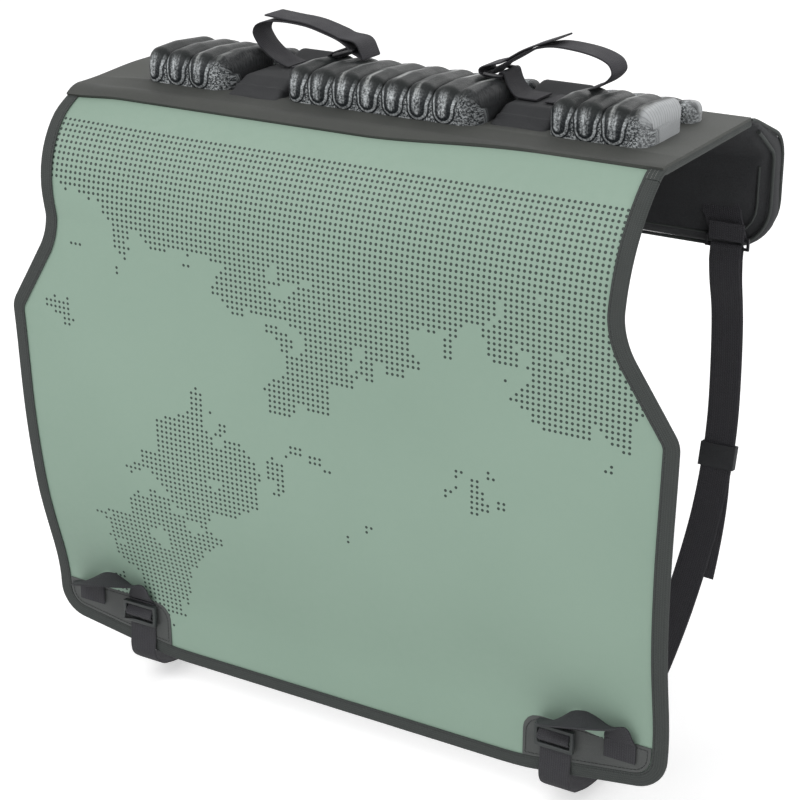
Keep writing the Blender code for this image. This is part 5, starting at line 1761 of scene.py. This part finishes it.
# %% Long straps, anchors and keepers
LINK_X = 0.2510
TAIL_LENGTH = 0.315
TAIL_GAP = 0.0022
ANCHOR_TOP_X = 0.226
ANCHOR_TOP_WIDTH = 0.046
ANCHOR_LOW_WIDTH = 0.034
TENSION_ROUTE = (
    (0.2510, 0.1385, -0.138), (0.2510, 0.1425, -0.158), (0.2510, 0.1530, -0.195), (0.2510, 0.1580, -0.250),
    (0.2505, 0.1590, -0.300), (0.2490, 0.1540, -0.345), (0.2465, 0.1420, -0.392), (0.2435, 0.1180, -0.440),
    (0.2400, 0.0850, -0.488), (0.2360, 0.0400, -0.532), (0.2310, -0.0150, -0.562), (0.2260, -0.0700, -0.568),
    (0.2240, -0.1000, -0.562),
)
LINK_Z = -0.121
LINK_BAR = 0.0026
LINK_HALF = (0.0066 + LINK_BAR) / 2
WRAP_RADIUS = LINK_BAR * math.sqrt(0.5) + GAP + STRAP_THICKNESS / 2
ANCHOR_TOP_Z = -0.050


def anchor_level(z):
    flat_level = FLAP_BACK - FLAP_THICKNESS - GAP - STRAP_THICKNESS / 2
    share = min(max((FLAP_BOTTOM + 0.042 - z) / 0.008, 0.0), 1.0)
    return flat_level - (0.0024 + GAP) * share


LINK_Y = anchor_level(LINK_Z) - WRAP_RADIUS


def anchor_strap(side):
    upper = LINK_Z + LINK_HALF
    route, widths = [], []
    for index in range(29):
        share = index / 28
        z = ANCHOR_TOP_Z + (upper - ANCHOR_TOP_Z) * share
        x = ANCHOR_TOP_X + (LINK_X - ANCHOR_TOP_X) * share
        route.append(Vector((side * x, anchor_level(z), z)))
        widths.append(ANCHOR_TOP_WIDTH + (ANCHOR_LOW_WIDTH - ANCHOR_TOP_WIDTH) * share)
    for point in arc((LINK_Y, upper), WRAP_RADIUS, 0.0, -math.pi, 12)[1:]:
        route.append(Vector((side * LINK_X, point.x, point.y)))
        widths.append(ANCHOR_LOW_WIDTH)
    for index in range(1, 7):
        route.append(Vector((side * LINK_X, LINK_Y - WRAP_RADIUS, upper + 0.014 * index / 6)))
        widths.append(ANCHOR_LOW_WIDTH)
    return route, [Vector((1, 0, 0))] * len(route), widths


def tension_strap(side):
    lower = LINK_Z - LINK_HALF
    front = []
    threaded = ((-0.0125, 0.0), (-0.0080, 0.0004), (-0.0046, 0.0034), (-0.0014, 0.0066), (0.0014, 0.0066),
                (0.0046, 0.0034), (0.0080, 0.0004), (0.0130, 0.0), (0.0230, 0.0))
    for along, lift in threaded:
        front.append(on_panel(BUCKLE_X, BUCKLE_DISTANCE + along, STRAP_LEVEL + lift))
    for to_edge, lift in ((0.0160, 0.0002), (0.0090, 0.0014), (0.0030, 0.0016)):
        front.append(on_panel(BUCKLE_X, OUTLINE[-1].y - to_edge, STRAP_LEVEL + lift))
    edge = on_panel(BUCKLE_X, PANEL.length, STRAP_LEVEL)
    front.append(edge + Vector((0.0, 0.0002, -0.0010)))
    front.append(edge + Vector((0.0, 0.0070, -0.0085)))
    hanging = [Vector(point) for point in reversed(TENSION_ROUTE)]
    lead = smooth_curve(front + hanging, 8)
    lead.append(Vector((LINK_X, LINK_Y - WRAP_RADIUS, lower - 0.003)))
    turn = arc((LINK_Y, lower), WRAP_RADIUS, math.pi, 0.0, 12)
    fold = [Vector((LINK_X, point.x, point.y)) for point in turn]
    tail_line = smooth_curve([Vector(point) for point in TENSION_ROUTE], 8)
    tail, travelled = [], 0.0
    for at, ahead in zip(tail_line, tail_line[1:]):
        along = (ahead - at).normalized()
        behind = Vector((0, -along.z, along.y)).normalized()
        closing = max(1.0 - travelled / 0.05, 0.0)
        opening = TAIL_GAP + (2 * WRAP_RADIUS - TAIL_GAP) * closing + max(-0.353 - at.z, 0.0) * 0.3
        tail.append(at + behind * opening)
        travelled += (ahead - at).length
        if travelled > TAIL_LENGTH:
            break
    route = [Vector((side * at.x, at.y, at.z)) for at in lead + fold + tail]
    return route, [Vector((1, 0, 0))] * len(route), [STRAP_WIDTH] * len(route)


for side_name, side in SIDES.items():
    route, sides, widths = tension_strap(side)
    long_strap = strap("tension_webbing_" + side_name, route, sides, widths)
    finish_piece(long_strap, strap_cloth, "webbing", "tension_strap_" + side_name)
    print("the", side_name, "tension strap runs", round(Line(route).length, 3), "metres")
    route, sides, widths = anchor_strap(side)
    anchor = strap("anchor_webbing_" + side_name, route, sides, widths, square=False)
    finish_piece(anchor, strap_cloth, "webbing", "strap_anchor_" + side_name)
    link = welded_copy("strap_link_" + side_name, "anchor_link_" + side_name, bevel=0.0006)
    finish_piece(link, plastic, "moulded_plastic", "strap_link_" + side_name)
    keeper = welded_copy("strap_keeper_" + side_name, "keeper_sleeve_" + side_name, bevel=0.0005)
    finish_piece(keeper, flap_cloth, "black_fabric", "strap_keeper_" + side_name)

# %% [markdown]
# ## Declaring the soft pieces
# The printed sheet and its backing are sheets of cloth of a known cut, which isn't a rectangle.
